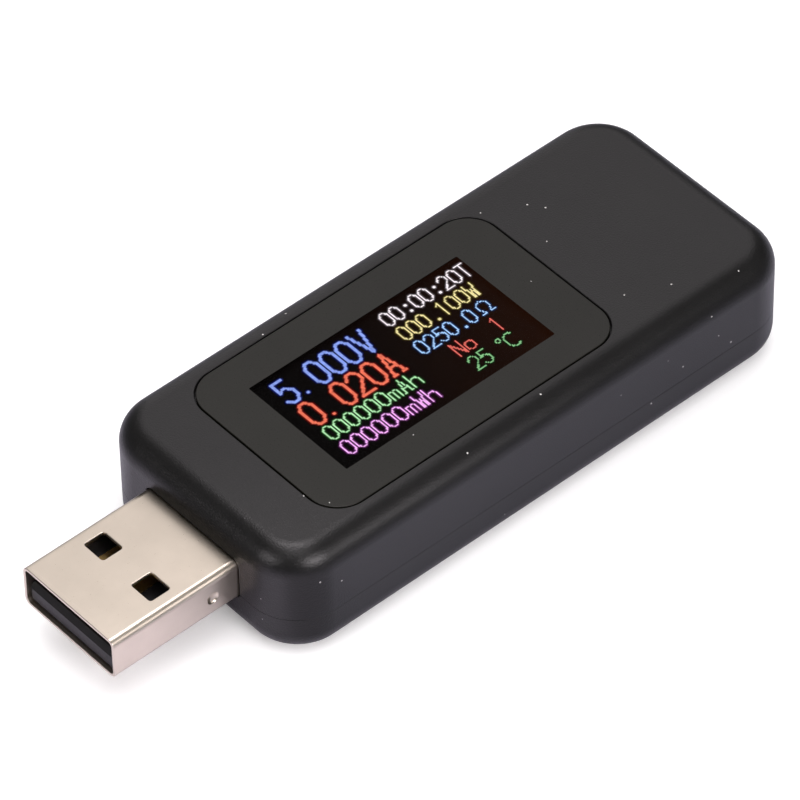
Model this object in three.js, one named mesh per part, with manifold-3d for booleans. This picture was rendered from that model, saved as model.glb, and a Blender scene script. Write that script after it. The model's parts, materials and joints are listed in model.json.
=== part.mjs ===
// A pass-through USB power meter: a USB-A plug and a USB-A socket on one circuit board, and a
// colour display under a flush window, in a two-part case with one side key.
// Millimetres. +X runs from the plug to the socket and +Z is up. The origin is the centre of
// the case's underside.
import * as THREE from "three";
import { mergeVertices } from "three/addons/utils/BufferGeometryUtils.js";
import Module from "manifold-3d";

const wasm = await Module();
wasm.setup();

// ---- Driving dimensions ----

const CASE_LENGTH = 59;
const CASE_WIDTH = 25.6;
const CASE_HEIGHT = 12;
const CASE_CORNER = 5;
const TOP_FILLET = 2.5;
const BOTTOM_FILLET = 2.6;
const CAVITY_FILLET = 1;
const WALL = 1.6;
const SEAM_Z = 4.6; // the upper shell's rim meets the lower shell's rim here
const LIP_THICKNESS = 0.7; // the lower shell's lip, which fits inside the upper shell
const LIP_HEIGHT = 1;
const FIT_GAP = 0.1; // between pieces that slide together
const ANCHOR_DEPTH = 0.4; // how far a post or a rib runs into the wall that it stands on

const FRONT_X = -CASE_LENGTH / 2;
const REAR_X = CASE_LENGTH / 2;
const CONNECTOR_Z = 6.3; // the mid-height of the plug and the socket

const WINDOW_LENGTH = 33.35;
const WINDOW_WIDTH = 20.1;
const WINDOW_CORNER = 3.15;
const WINDOW_THICKNESS = 0.5;
const WINDOW_GAP = 0.15; // the dark line round the window
const WINDOW_X = -5.4;
const TAPE_THICKNESS = 0.12;
const TAPE_GAP = 0.015;
const RECESS_DEPTH = WINDOW_THICKNESS + TAPE_THICKNESS + 2 * TAPE_GAP;

const DISPLAY_X = -5.4; // the middle of the lit area's dark surround
const DISPLAY_OPENING_X = [-21.1, 8.1];
const DISPLAY_OPENING_WIDTH = 14.8;
const DISPLAY_OPENING_CORNER = 1.4;
const DISPLAY_POCKET_X = [-22.7, 8.4]; // the ceiling is hollowed here, round the display's frame
const DISPLAY_POCKET_WIDTH = 15.4;
const DISPLAY_POCKET_TOP_Z = 10.97;
const DISPLAY_TOP_Z = 11.45;
const FILM_THICKNESS = 0.13;
const GLASS_THICKNESS = 0.5;
const GUIDE_THICKNESS = 0.6;
const LAYER_GAP = 0.03;

const BOARD_X = [-24.2, 15.6];
const BOARD_WIDTH = 20.6;
const BOARD_THICKNESS = 1;
const BOARD_TOP_Z = 6.15;
const BOARD_CORNER = 1;
const POST_X = [-22.4, 6.5];
const POST_Y = 9.1;
const POST_RADIUS = 1.5;
const PIN_RADIUS = 0.75;
const PIN_HOLE_RADIUS = 0.95;
const PIN_TOP_Z = 6.95;

const SHEET = 0.3; // the folded steel of both connectors
const CONTACT_Y = [-3.5, -1, 1, 3.5];
const CONTACT_WIDTH = 1;
const CONTACT_THICKNESS = 0.2;
const CONTACT_Z = BOARD_TOP_Z + LAYER_GAP - CONNECTOR_Z; // a strip's underside, from mid-height
const CONTACT_SLOT_GAP = 0.04;

const PLUG_WIDTH = 12;
const PLUG_HEIGHT = 4.5;
const PLUG_CORNER = 0.6;
const PLUG_TIP = -13.65; // from the case's front face
const PLUG_REAR = 5;
const PLUG_HOLE_START = 5.4; // from the tip
const PLUG_HOLE_LENGTH = 2.2;
const PLUG_HOLE_WIDTH = 2.55;
const PLUG_HOLE_Y = 3.13;
const PLUG_HOLE_CORNER = 0.25;
const PLUG_DIMPLE = { x: -2.8, z: -0.2, radius: 0.75, depth: 0.16 };
const PLUG_TONGUE_RECESS = 0.35;
const PLUG_BLOCK_X = -1.5; // the insulator fills the shell behind this
const PLUG_TAIL_END = 6.9;
const OUTER_CONTACT_START = 1.5; // from the tip: the power contacts meet first
const INNER_CONTACT_START = 2.5;

const SOCKET_WIDTH = 13.1;
const SOCKET_HEIGHT = 5.72;
const SOCKET_CORNER = 0.7;
const SOCKET_MOUTH = -0.2; // from the case's rear face
const SOCKET_REAR = -13.6;
const SOCKET_LIP = 0.4; // how far the mouth's turned lip stands out
const SOCKET_LIP_DEPTH = 0.6;
const SOCKET_LIP_STEP = 0.05; // the lip stops this far short of the mouth
const SOCKET_TONGUE_X = [-10.3, -1.6];
const SOCKET_TONGUE_Z = [0.12, 1.92];
const SOCKET_TONGUE_WIDTH = 11.1;
const SOCKET_TAIL_END = -16;

const TAB_LENGTH = 3; // the shells' soldered tabs
const TAB_Z = [-1.4, 0.9];
const TAB_THICKNESS = 0.27;
const TAB_SLOT_GAP = 0.25;

const KEY_X = 12;
const KEY_Z = 7.9;
const KEY_LENGTH = 7;
const KEY_HEIGHT = 2.6;
const KEY_CORNER = 1.2;
const KEY_PROUD = 0.5;
const KEY_EDGE = 0.3;
const KEY_GAP = 0.15;
const KEY_FLANGE = 0.45; // the flange's thickness, and how far it stands out round the key
const KEY_TRAVEL = 0.3;

const CORNER_STEPS = 8; // flats round a quarter turn of a large corner
const SMALL_CORNER_STEPS = 3;
const SMALL_RADIUS = 1.3;
const ROUND_SEGMENTS = 24;
const FILLET_SEGMENTS = 4;
const OVERSHOOT = 1; // how far a cutting tool runs past the piece
const PAST_CASE = [-CASE_LENGTH, CASE_LENGTH]; // a range wider than the case on every side

// ---- Finishes ----

const CASE_PLASTIC = { color: 0x1b1a1c, roughness: 0.6, metalness: 0 };
const WINDOW_ACRYLIC = { color: 0x1e1e1c, roughness: 0.3, metalness: 0 };
const KEY_PLASTIC = { color: 0x151516, roughness: 0.55, metalness: 0 };
const TAPE = { color: 0x101010, roughness: 0.9, metalness: 0 };
const PLATED_STEEL = { color: 0xcfc6bd, roughness: 0.3, metalness: 1 };
const GOLD_PLATE = { color: 0xd9b25f, roughness: 0.25, metalness: 1 };
const BLACK_NYLON = { color: 0x121213, roughness: 0.5, metalness: 0 };
const LCD_GLASS = { color: 0x10151a, roughness: 0.05, metalness: 0 };
const POLARISER = { color: 0x090a0c, roughness: 0.3, metalness: 0 };
const WHITE_PLASTIC = { color: 0xe6e6e2, roughness: 0.5, metalness: 0 };
const CLEAR_ACRYLIC = { color: 0xdfe7e6, roughness: 0.1, metalness: 0 };
const FLEX_FILM = { color: 0xa0632a, roughness: 0.4, metalness: 0 };
const FOAM = { color: 0x2b2b2e, roughness: 1, metalness: 0 };
const BOARD_LAMINATE = { color: 0x12442c, roughness: 0.45, metalness: 0 };
const CHIP_EPOXY = { color: 0x17181a, roughness: 0.6, metalness: 0 };
const CERAMIC = { color: 0x8d7350, roughness: 0.6, metalness: 0 };
const TINNED_METAL = { color: 0xc2c4c6, roughness: 0.35, metalness: 1 };

// ---- Shape helpers ----

const X_AXIS = new THREE.Vector3(1, 0, 0);
const Y_AXIS = new THREE.Vector3(0, 1, 0);
const Z_AXIS = new THREE.Vector3(0, 0, 1);
const YZ_TO_X = new THREE.Matrix4().makeBasis(Y_AXIS, Z_AXIS, X_AXIS);
const XZ_TO_Y = new THREE.Matrix4().makeBasis(X_AXIS, Z_AXIS, Y_AXIS.clone().negate());

// [low, high] of a length about a centre.
function span(centre, length) {
  return [centre - length / 2, centre + length / 2];
}

// A block between three [low, high] pairs.
function block([x0, x1], [y0, y1], [z0, z1]) {
  const geometry = new THREE.BoxGeometry(x1 - x0, y1 - y0, z1 - z0);
  return geometry.translate((x0 + x1) / 2, (y0 + y1) / 2, (z0 + z1) / 2);
}

// Points along an arc, as [x, y] pairs.
function arcPoints(x, y, radius, from, to, steps) {
  return Array.from({ length: steps + 1 }, (_, i) => {
    const angle = from + ((to - from) * i) / steps;
    return [x + radius * Math.cos(angle), y + radius * Math.sin(angle)];
  });
}

// A rectangle with round corners, centred on the origin.
function roundedRectangle(length, width, radius) {
  const steps = radius < SMALL_RADIUS ? SMALL_CORNER_STEPS : CORNER_STEPS;
  const x = length / 2 - radius;
  const y = width / 2 - radius;
  const centres = [
    [x, y],
    [-x, y],
    [-x, -y],
    [x, -y],
  ];
  const points = centres.flatMap(([centreX, centreY], i) => {
    const from = (i * Math.PI) / 2;
    return arcPoints(centreX, centreY, radius, from, from + Math.PI / 2, steps);
  });
  return new THREE.Shape(points.map(([px, py]) => new THREE.Vector2(px, py)));
}

// outline with a hole of another outline's shape.
function ring(outline, hole) {
  outline.holes.push(hole);
  return outline;
}

// An outline in x and y, raised between two heights, with its top and bottom edges rounded.
function slab(outline, [low, high], fillet = 0) {
  const geometry = new THREE.ExtrudeGeometry(outline, {
    depth: high - low - 2 * fillet,
    bevelEnabled: fillet > 0,
    bevelSize: fillet,
    bevelOffset: -fillet,
    bevelThickness: fillet,
    bevelSegments: FILLET_SEGMENTS,
  });
  return geometry.translate(0, 0, low + fillet);
}

// An outline in y and z, drawn out along x.
function barAlongX(outline, range, fillet = 0) {
  return slab(outline, range, fillet).applyMatrix4(YZ_TO_X);
}

// An outline in x and z, drawn out along y.
function barAlongY(outline, [low, high], fillet = 0) {
  return slab(outline, [-high, -low], fillet).applyMatrix4(XZ_TO_Y);
}

// A round rod up the z axis, between two heights.
function rod(radius, [low, high]) {
  const geometry = new THREE.CylinderGeometry(radius, radius, high - low, ROUND_SEGMENTS);
  return geometry.rotateX(Math.PI / 2).translate(0, 0, (low + high) / 2);
}

// The outline of a strip of even thickness along a line of [x, y] points.
function stripOutline(points, thickness) {
  const line = points.map(([x, y]) => new THREE.Vector2(x, y));
  const sides = line.map((point, i) => {
    const before = line[Math.max(i - 1, 0)];
    const after = line[Math.min(i + 1, line.length - 1)];
    const way = after.clone().sub(before).normalize();
    return new THREE.Vector2(-way.y, way.x).multiplyScalar(thickness / 2);
  });
  const left = line.map((point, i) => point.clone().add(sides[i]));
  const right = line.map((point, i) => point.clone().sub(sides[i]));
  return new THREE.Shape([...right, ...left.reverse()]);
}

// ---- Joining and cutting ----

const WELD_DISTANCE = 1e-4;

function toSolid(geometry) {
  const bare = geometry.clone();
  bare.deleteAttribute("normal");
  bare.deleteAttribute("uv");
  const merged = mergeVertices(bare, WELD_DISTANCE);
  return new wasm.Manifold(
    new wasm.Mesh({
      numProp: 3,
      vertProperties: merged.attributes.position.array,
      triVerts: Uint32Array.from(merged.index.array),
    }),
  );
}

function toGeometry(solid) {
  const mesh = solid.getMesh();
  const geometry = new THREE.BufferGeometry();
  const positions = new THREE.BufferAttribute(mesh.vertProperties, 3);
  geometry.setAttribute("position", positions);
  geometry.setIndex(new THREE.BufferAttribute(mesh.triVerts, 1));
  geometry.computeVertexNormals();
  return geometry;
}

function join(base, extras) {
  const solids = extras.map(toSolid);
  return toGeometry(solids.reduce((sum, solid) => sum.add(solid), toSolid(base)));
}

function cut(base, tools) {
  const solids = tools.map(toSolid);
  return toGeometry(solids.reduce((rest, solid) => rest.subtract(solid), toSolid(base)));
}

// A named piece in a group, at a place in that group.
function addPiece(group, name, finish, geometry, [x, y, z] = [0, 0, 0]) {
  const mesh = new THREE.Mesh(geometry, new THREE.MeshStandardMaterial(finish));
  mesh.name = name;
  mesh.position.set(x, y, z);
  group.add(mesh);
  return mesh;
}

function groupAt(x, y, z) {
  const group = new THREE.Group();
  group.position.set(x, y, z);
  return group;
}

// ---- Case ----

function caseOutline(inset) {
  const length = CASE_LENGTH - 2 * inset;
  return roundedRectangle(length, CASE_WIDTH - 2 * inset, CASE_CORNER - inset);
}

function windowOutline(inset) {
  const length = WINDOW_LENGTH - 2 * inset;
  return roundedRectangle(length, WINDOW_WIDTH - 2 * inset, WINDOW_CORNER - inset);
}

// The opening under the window that the display's glass stands in, made larger by margin.
function displayOpening(margin, heights) {
  const [low, high] = DISPLAY_OPENING_X;
  const outline = roundedRectangle(
    high - low + 2 * margin,
    DISPLAY_OPENING_WIDTH + 2 * margin,
    DISPLAY_OPENING_CORNER + margin,
  );
  return slab(outline, heights).translate((low + high) / 2, 0, 0);
}

// The holes in the case's end walls, which the plug and the socket stand in.
function connectorOpenings() {
  const plug = roundedRectangle(
    PLUG_WIDTH + 2 * FIT_GAP,
    PLUG_HEIGHT + 2 * FIT_GAP,
    PLUG_CORNER + FIT_GAP,
  );
  const socket = roundedRectangle(
    SOCKET_WIDTH + 2 * SOCKET_LIP + 2 * FIT_GAP,
    SOCKET_HEIGHT + 2 * SOCKET_LIP + 2 * FIT_GAP,
    SOCKET_CORNER + SOCKET_LIP,
  );
  return [
    barAlongX(plug, [FRONT_X - OVERSHOOT, FRONT_X + WALL + OVERSHOOT]),
    barAlongX(socket, [REAR_X - WALL - OVERSHOOT, REAR_X + OVERSHOOT]),
  ].map((tool) => tool.translate(0, 0, CONNECTOR_Z));
}

// Ribs that hold the plug's and the socket's shells, between two heights.
const RIB_THICKNESS = 1;
const RIB_WIDTH = 8;
const RIB_GAP = 0.15;
const PLUG_RIB_X = -26.6;
const SOCKET_RIB_X = [18.6, 24];

function connectorRibs(plugHeights, socketHeights) {
  const across = span(0, RIB_WIDTH);
  return [
    block(span(PLUG_RIB_X, RIB_THICKNESS), across, plugHeights),
    ...SOCKET_RIB_X.map((x) => block(span(x, RIB_THICKNESS), across, socketHeights)),
  ];
}

function atEachPost(make) {
  return POST_X.flatMap((x) => [-POST_Y, POST_Y].map((y) => make().translate(x, y, 0)));
}

function upperShell() {
  const outside = slab(caseOutline(0), [0, CASE_HEIGHT], TOP_FILLET);
  const ceiling = CASE_HEIGHT - WALL;
  const cavity = slab(
    caseOutline(WALL),
    [SEAM_Z - 2 * OVERSHOOT - CAVITY_FILLET, ceiling],
    CAVITY_FILLET,
  );
  const lipRecess = slab(caseOutline(WALL - LIP_THICKNESS - FIT_GAP), [
    SEAM_Z - OVERSHOOT,
    SEAM_Z + LIP_HEIGHT + FIT_GAP,
  ]);
  const below = block(PAST_CASE, PAST_CASE, [-OVERSHOOT, SEAM_Z]);
  const hollow = cut(outside, [below, cavity, lipRecess]);

  const plugTop = CONNECTOR_Z + PLUG_HEIGHT / 2 + RIB_GAP;
  const socketTop = CONNECTOR_Z + SOCKET_HEIGHT / 2 + RIB_GAP;
  const intoCeiling = ceiling + ANCHOR_DEPTH;
  const pegs = atEachPost(() => rod(POST_RADIUS, [BOARD_TOP_Z + FIT_GAP, intoCeiling]));
  const ribs = connectorRibs([plugTop, intoCeiling], [socketTop, intoCeiling]);
  const furnished = join(hollow, [...pegs, ...ribs]);

  const recessFloor = CASE_HEIGHT - RECESS_DEPTH;
  const recess = slab(windowOutline(-WINDOW_GAP), [recessFloor, CASE_HEIGHT + OVERSHOOT]);
  const viewOpening = displayOpening(0, [ceiling - OVERSHOOT, recessFloor + OVERSHOOT]);
  const pocket = block(DISPLAY_POCKET_X, span(0, DISPLAY_POCKET_WIDTH), [
    ceiling - WALL,
    DISPLAY_POCKET_TOP_Z,
  ]);
  const pegBores = atEachPost(() => rod(PIN_HOLE_RADIUS, [BOARD_TOP_Z, PIN_TOP_Z + FIT_GAP]));
  return cut(furnished, [
    recess.translate(WINDOW_X, 0, 0),
    viewOpening,
    pocket,
    keyOpening(),
    ...pegBores,
    ...connectorOpenings(),
  ]);
}

function lowerShell() {
  const outside = slab(caseOutline(0), [0, CASE_HEIGHT], BOTTOM_FILLET);
  const cavity = slab(
    caseOutline(WALL),
    [WALL, SEAM_Z + 2 * OVERSHOOT + CAVITY_FILLET],
    CAVITY_FILLET,
  );
  const above = block(PAST_CASE, PAST_CASE, [SEAM_Z, CASE_HEIGHT + OVERSHOOT]);
  const hollow = cut(outside, [above, cavity]);

  const lip = slab(ring(caseOutline(WALL - LIP_THICKNESS), caseOutline(WALL + FIT_GAP)), [
    SEAM_Z - LIP_HEIGHT,
    SEAM_Z + LIP_HEIGHT,
  ]);
  const boardBottom = BOARD_TOP_Z - BOARD_THICKNESS;
  const intoFloor = WALL - ANCHOR_DEPTH;
  const posts = atEachPost(() => rod(POST_RADIUS, [intoFloor, boardBottom - FIT_GAP]));
  const pins = atEachPost(() => rod(PIN_RADIUS, [intoFloor, PIN_TOP_Z]));
  const plugBottom = CONNECTOR_Z - PLUG_HEIGHT / 2 - RIB_GAP;
  const socketBottom = CONNECTOR_Z - SOCKET_HEIGHT / 2 - RIB_GAP;
  const ribs = connectorRibs([intoFloor, plugBottom], [intoFloor, socketBottom]);
  const furnished = join(hollow, [lip, ...posts, ...pins, ...ribs]);
  return cut(furnished, connectorOpenings());
}

function addCase(parent) {
  const group = groupAt(0, 0, 0);
  addPiece(group, "upper_shell", CASE_PLASTIC, upperShell());
  addPiece(group, "lower_shell", CASE_PLASTIC, lowerShell());
  parent.add(group);
}

// ---- Window ----

function addWindow(parent) {
  const group = groupAt(WINDOW_X, 0, CASE_HEIGHT);
  const pane = slab(windowOutline(0), [-WINDOW_THICKNESS, 0]);
  addPiece(group, "screen_window", WINDOW_ACRYLIC, pane);

  const margin = 2 * FIT_GAP;
  const opening = displayOpening(margin, [-CASE_HEIGHT, CASE_HEIGHT]);
  const tapeTop = -WINDOW_THICKNESS - TAPE_GAP;
  const sheet = slab(windowOutline(margin), [tapeTop - TAPE_THICKNESS, tapeTop]);
  const tape = cut(sheet, [opening.translate(-WINDOW_X, 0, 0)]);
  addPiece(group, "window_adhesive", TAPE, tape);
  parent.add(group);
}

// ---- Display ----

const LCD_WIDTH = 14.2;
const LEDGE_X = [-15.3, 12.75]; // the array glass, from the display's middle, with the chip's ledge
const VIEW_X = [-12.7, 12.75]; // the colour filter glass
const FILM_INSET = 0.4;
const BACKLIGHT_X = [-15.8, 13.3];
const BACKLIGHT_WIDTH = 14.7;
const BACKLIGHT_WALL = 0.5;
const DRIVER_X = -13.55; // the driver chip's middle, on the ledge
const FOAM_LENGTH = 14;
const FOAM_WIDTH = 10;

function inset([low, high], amount) {
  return [low + amount, high - amount];
}

function addDisplay(parent) {
  const group = groupAt(DISPLAY_X, 0, DISPLAY_TOP_Z);
  const across = span(0, LCD_WIDTH);
  let top = 0;
  const heights = {};

  // Each layer lies under the one before it.
  function addLayer(name, finish, thickness, xRange, yRange) {
    heights[name] = [top - thickness, top];
    addPiece(group, name, finish, block(xRange, yRange, heights[name]));
    top -= thickness + LAYER_GAP;
  }

  const filmX = inset(VIEW_X, FILM_INSET);
  const filmY = inset(across, FILM_INSET);
  addLayer("front_polariser", POLARISER, FILM_THICKNESS, filmX, filmY);
  addLayer("colour_filter_glass", LCD_GLASS, GLASS_THICKNESS, VIEW_X, across);
  addLayer("array_glass", LCD_GLASS, GLASS_THICKNESS, LEDGE_X, across);

  const frameTop = top;
  const guideX = inset([VIEW_X[0], BACKLIGHT_X[1]], BACKLIGHT_WALL + FIT_GAP);
  const guideY = inset(span(0, BACKLIGHT_WIDTH), BACKLIGHT_WALL + FIT_GAP);
  addLayer("rear_polariser", POLARISER, FILM_THICKNESS, guideX, guideY);
  addLayer("diffuser_film", WHITE_PLASTIC, FILM_THICKNESS, guideX, guideY);
  addLayer("light_guide", CLEAR_ACRYLIC, GUIDE_THICKNESS, guideX, guideY);
  addLayer("reflector_film", WHITE_PLASTIC, FILM_THICKNESS, guideX, guideY);

  const frameHeights = [top, frameTop];
  const frameY = span(0, BACKLIGHT_WIDTH);
  const frameHole = block(
    inset(BACKLIGHT_X, BACKLIGHT_WALL),
    inset(frameY, BACKLIGHT_WALL),
    [top - OVERSHOOT, frameTop + OVERSHOOT],
  );
  const frame = cut(block(BACKLIGHT_X, frameY, frameHeights), [frameHole]);
  addPiece(group, "backlight_frame", WHITE_PLASTIC, frame);

  addBacklightLed(group, guideX[0], heights.light_guide);
  addDisplayDriver(group, heights.array_glass[1]);
  addDisplayFlex(group, heights.array_glass[1]);

  const foamHeights = [BOARD_TOP_Z + LAYER_GAP - DISPLAY_TOP_Z, top - LAYER_GAP];
  addPiece(group, "foam_pad", FOAM, block(span(0, FOAM_LENGTH), span(0, FOAM_WIDTH), foamHeights));
  parent.add(group);
}

// The lamp shines into the light guide's front edge.
function addBacklightLed(group, guideStart, guideHeights) {
  const LED_LENGTH = 3;
  const LED_DEPTH = 1;
  const x = [guideStart - LAYER_GAP - LED_DEPTH, guideStart - LAYER_GAP];
  const geometry = block(x, span(0, LED_LENGTH), inset(guideHeights, LAYER_GAP));
  addPiece(group, "backlight_led", WHITE_PLASTIC, geometry);
}

// The driver chip lies on the array glass's ledge.
function addDisplayDriver(group, ledgeTop) {
  const DRIVER_LENGTH = 11;
  const DRIVER_DEPTH = 0.8;
  const DRIVER_HEIGHT = 0.25;
  const x = span(DRIVER_X, DRIVER_DEPTH);
  const z = [ledgeTop + LAYER_GAP, ledgeTop + LAYER_GAP + DRIVER_HEIGHT];
  addPiece(group, "display_driver", CHIP_EPOXY, block(x, span(0, DRIVER_LENGTH), z));
}

// The flexible cable leaves the ledge, turns down past the frame and lies on the board.
function addDisplayFlex(group, ledgeTop) {
  const FLEX_THICKNESS = 0.1;
  const FLEX_WIDTH = 8;
  const BEND = 0.7;
  const BEND_STEPS = 5;
  const LEDGE_OVERLAP = 0.8;
  const FRAME_CLEARANCE = 0.3;
  const BOARD_OVERLAP = 2.6;
  const start = LEDGE_X[0] + LEDGE_OVERLAP;
  const turnX = BACKLIGHT_X[0] - FRAME_CLEARANCE;
  const topZ = ledgeTop + LAYER_GAP + FLEX_THICKNESS / 2;
  const boardZ = BOARD_TOP_Z + LAYER_GAP + FLEX_THICKNESS / 2 - DISPLAY_TOP_Z;
  const end = turnX + BOARD_OVERLAP;
  const line = [
    [start, topZ],
    ...arcPoints(turnX, topZ - BEND, BEND, Math.PI / 2, Math.PI, BEND_STEPS),
    ...arcPoints(turnX, boardZ + BEND, BEND, Math.PI, 1.5 * Math.PI, BEND_STEPS),
    [end, boardZ],
  ];
  const flex = barAlongY(stripOutline(line, FLEX_THICKNESS), span(0, FLEX_WIDTH));
  addPiece(group, "display_flex", FLEX_FILM, flex);
}

// ---- Circuit board ----

function boardOutline() {
  const [front, rear] = BOARD_X;
  return slab(roundedRectangle(rear - front, BOARD_WIDTH, BOARD_CORNER), [-BOARD_THICKNESS, 0])
    .translate((front + rear) / 2, 0, 0);
}

// A slot in the board's end for one side tab of a connector's shell.
function tabSlot(xRange, tabY) {
  const y = span(tabY, SHEET + 2 * TAB_SLOT_GAP);
  return block(xRange, y, [-BOARD_THICKNESS - OVERSHOOT, OVERSHOOT]);
}

function circuitBoard() {
  const [front, rear] = BOARD_X;
  const plugTabY = PLUG_WIDTH / 2 - SHEET / 2;
  const socketTabY = SOCKET_WIDTH / 2 - SHEET / 2;
  const plugSlotX = [front - OVERSHOOT, FRONT_X + PLUG_REAR + TAB_LENGTH + TAB_SLOT_GAP];
  const socketSlotX = [REAR_X + SOCKET_REAR - TAB_LENGTH - TAB_SLOT_GAP, rear + OVERSHOOT];
  const through = [-BOARD_THICKNESS - OVERSHOOT, OVERSHOOT];
  return cut(boardOutline(), [
    ...[-1, 1].map((side) => tabSlot(plugSlotX, side * plugTabY)),
    ...[-1, 1].map((side) => tabSlot(socketSlotX, side * socketTabY)),
    ...atEachPost(() => rod(PIN_HOLE_RADIUS, through)),
  ]);
}

// A chip with bent leads along its two long sides, standing on z = 0.
function leadedChip({ length, width, height, leads, pitch, leadWidth }) {
  const STAND_OFF = 0.1;
  const LEAD_THICKNESS = 0.15;
  const LEAD_REACH = 0.9;
  const body = block(span(0, length), span(0, width), [STAND_OFF, height]);
  const edge = width / 2;
  const foot = LEAD_THICKNESS / 2;
  const middle = height / 2;
  const line = [
    [edge - LEAD_REACH / 2, middle],
    [edge + LEAD_REACH / 4, middle],
    [edge + LEAD_REACH / 2, foot],
    [edge + LEAD_REACH, foot],
  ];
  const extras = [];
  for (let i = 0; i < leads; i += 1) {
    const x = (i - (leads - 1) / 2) * pitch;
    for (const turn of [0, Math.PI]) {
      const lead = barAlongX(stripOutline(line, LEAD_THICKNESS), span(0, leadWidth));
      extras.push(lead.rotateZ(turn).translate(x, 0, 0));
    }
  }
  return join(body, extras);
}

// A two-ended part, such as a ceramic capacitor or the shunt: metal caps round a body.
function cappedChip({ length, width, height, cap }) {
  const RELIEF = 0.05;
  const body = block(span(0, length - cap), inset(span(0, width), RELIEF), [RELIEF, height - RELIEF]);
  const ends = [-1, 1].map((side) => {
    const x = span((side * (length - cap)) / 2, cap);
    return block(x, span(0, width), [0, height]);
  });
  return join(body, ends);
}

const SMALL_OUTLINE_8 = {
  length: 4.9,
  width: 3.9,
  height: 1.5,
  leads: 4,
  pitch: 1.27,
  leadWidth: 0.42,
};
const SMALL_OUTLINE_20 = {
  length: 6.5,
  width: 4.4,
  height: 1.1,
  leads: 10,
  pitch: 0.65,
  leadWidth: 0.25,
};
const REGULATOR_SIZE = {
  length: 4.5,
  width: 2.5,
  height: 1.5,
  leads: 3,
  pitch: 1.5,
  leadWidth: 0.45,
};
const TRANSISTOR_SIZE = {
  length: 2.9,
  width: 1.3,
  height: 1,
  leads: 2,
  pitch: 1.9,
  leadWidth: 0.4,
};
const CAPACITOR_SIZE = { length: 3.2, width: 1.6, height: 1.2, cap: 0.5 };
const SHUNT_SIZE = { length: 6.4, width: 3.2, height: 0.6, cap: 1.2 };
const CRYSTAL_SIZE = { length: 3.2, width: 2.5, height: 0.8, corner: 0.3 };

// The [x, y] places of the parts on the board.
const SHUNT_PLACE = [11.9, -8.4];
const MICROCONTROLLER_PLACE = [-8, 0];
const MEASURING_CHIP_PLACE = [9, -4];
const MEMORY_CHIP_PLACE = [1, 5.5];
const REGULATOR_PLACE = [-18, -6];
const TRANSISTOR_PLACE = [-18, 6];
const CRYSTAL_PLACE = [-15.5, 0];
const CAPACITOR_PLACES = [
  [-13, -6.5],
  [-13, 6.5],
  [1, -5.5],
  [9.5, 3.5],
];

function addBoard(parent) {
  const group = groupAt(0, 0, BOARD_TOP_Z);
  addPiece(group, "circuit_board", BOARD_LAMINATE, circuitBoard());

  const shunt = cappedChip(SHUNT_SIZE);
  addPiece(group, "current_shunt", TINNED_METAL, shunt, [...SHUNT_PLACE, LAYER_GAP]);

  // The rest hangs from the board's underside.
  function addUnder(name, finish, geometry, [x, y], turn = 0) {
    const place = [x, y, -BOARD_THICKNESS - LAYER_GAP];
    const mesh = addPiece(group, name, finish, geometry, place);
    mesh.rotation.set(Math.PI, 0, turn);
  }

  const { length, width, height, corner } = CRYSTAL_SIZE;
  const crystal = slab(roundedRectangle(length, width, corner), [0, height]);
  const quarterTurn = Math.PI / 2;
  addUnder("microcontroller", CHIP_EPOXY, leadedChip(SMALL_OUTLINE_20), MICROCONTROLLER_PLACE);
  addUnder("measuring_chip", CHIP_EPOXY, leadedChip(SMALL_OUTLINE_8), MEASURING_CHIP_PLACE);
  addUnder("memory_chip", CHIP_EPOXY, leadedChip(SMALL_OUTLINE_8), MEMORY_CHIP_PLACE);
  addUnder("voltage_regulator", CHIP_EPOXY, leadedChip(REGULATOR_SIZE), REGULATOR_PLACE);
  addUnder("backlight_transistor", CHIP_EPOXY, leadedChip(TRANSISTOR_SIZE), TRANSISTOR_PLACE);
  addUnder("crystal", TINNED_METAL, crystal, CRYSTAL_PLACE, quarterTurn);
  CAPACITOR_PLACES.forEach((place, i) => {
    addUnder("capacitor_" + (i + 1), CERAMIC, cappedChip(CAPACITOR_SIZE), place, quarterTurn);
  });
  parent.add(group);
}

// ---- Connectors ----

// A folded steel tube along x.
function steelTube(width, height, corner, xRange) {
  const outline = roundedRectangle(width, height, corner);
  const bore = roundedRectangle(width - 2 * SHEET, height - 2 * SHEET, corner - SHEET);
  return barAlongX(ring(outline, bore), xRange);
}

// The two side tabs that are soldered through the board, from x0 to x1.
function sideTabs(width, xRange) {
  return [-1, 1].map((side) => {
    const y = span((side * (width - SHEET)) / 2, TAB_THICKNESS);
    return block(xRange, y, TAB_Z);
  });
}

// Slots through an insulator for its four contacts.
function contactSlots(xRange) {
  const z = [CONTACT_Z - CONTACT_SLOT_GAP, CONTACT_Z + CONTACT_THICKNESS + CONTACT_SLOT_GAP];
  return CONTACT_Y.map((y) => block(xRange, span(y, CONTACT_WIDTH + 2 * CONTACT_SLOT_GAP), z));
}

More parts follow.
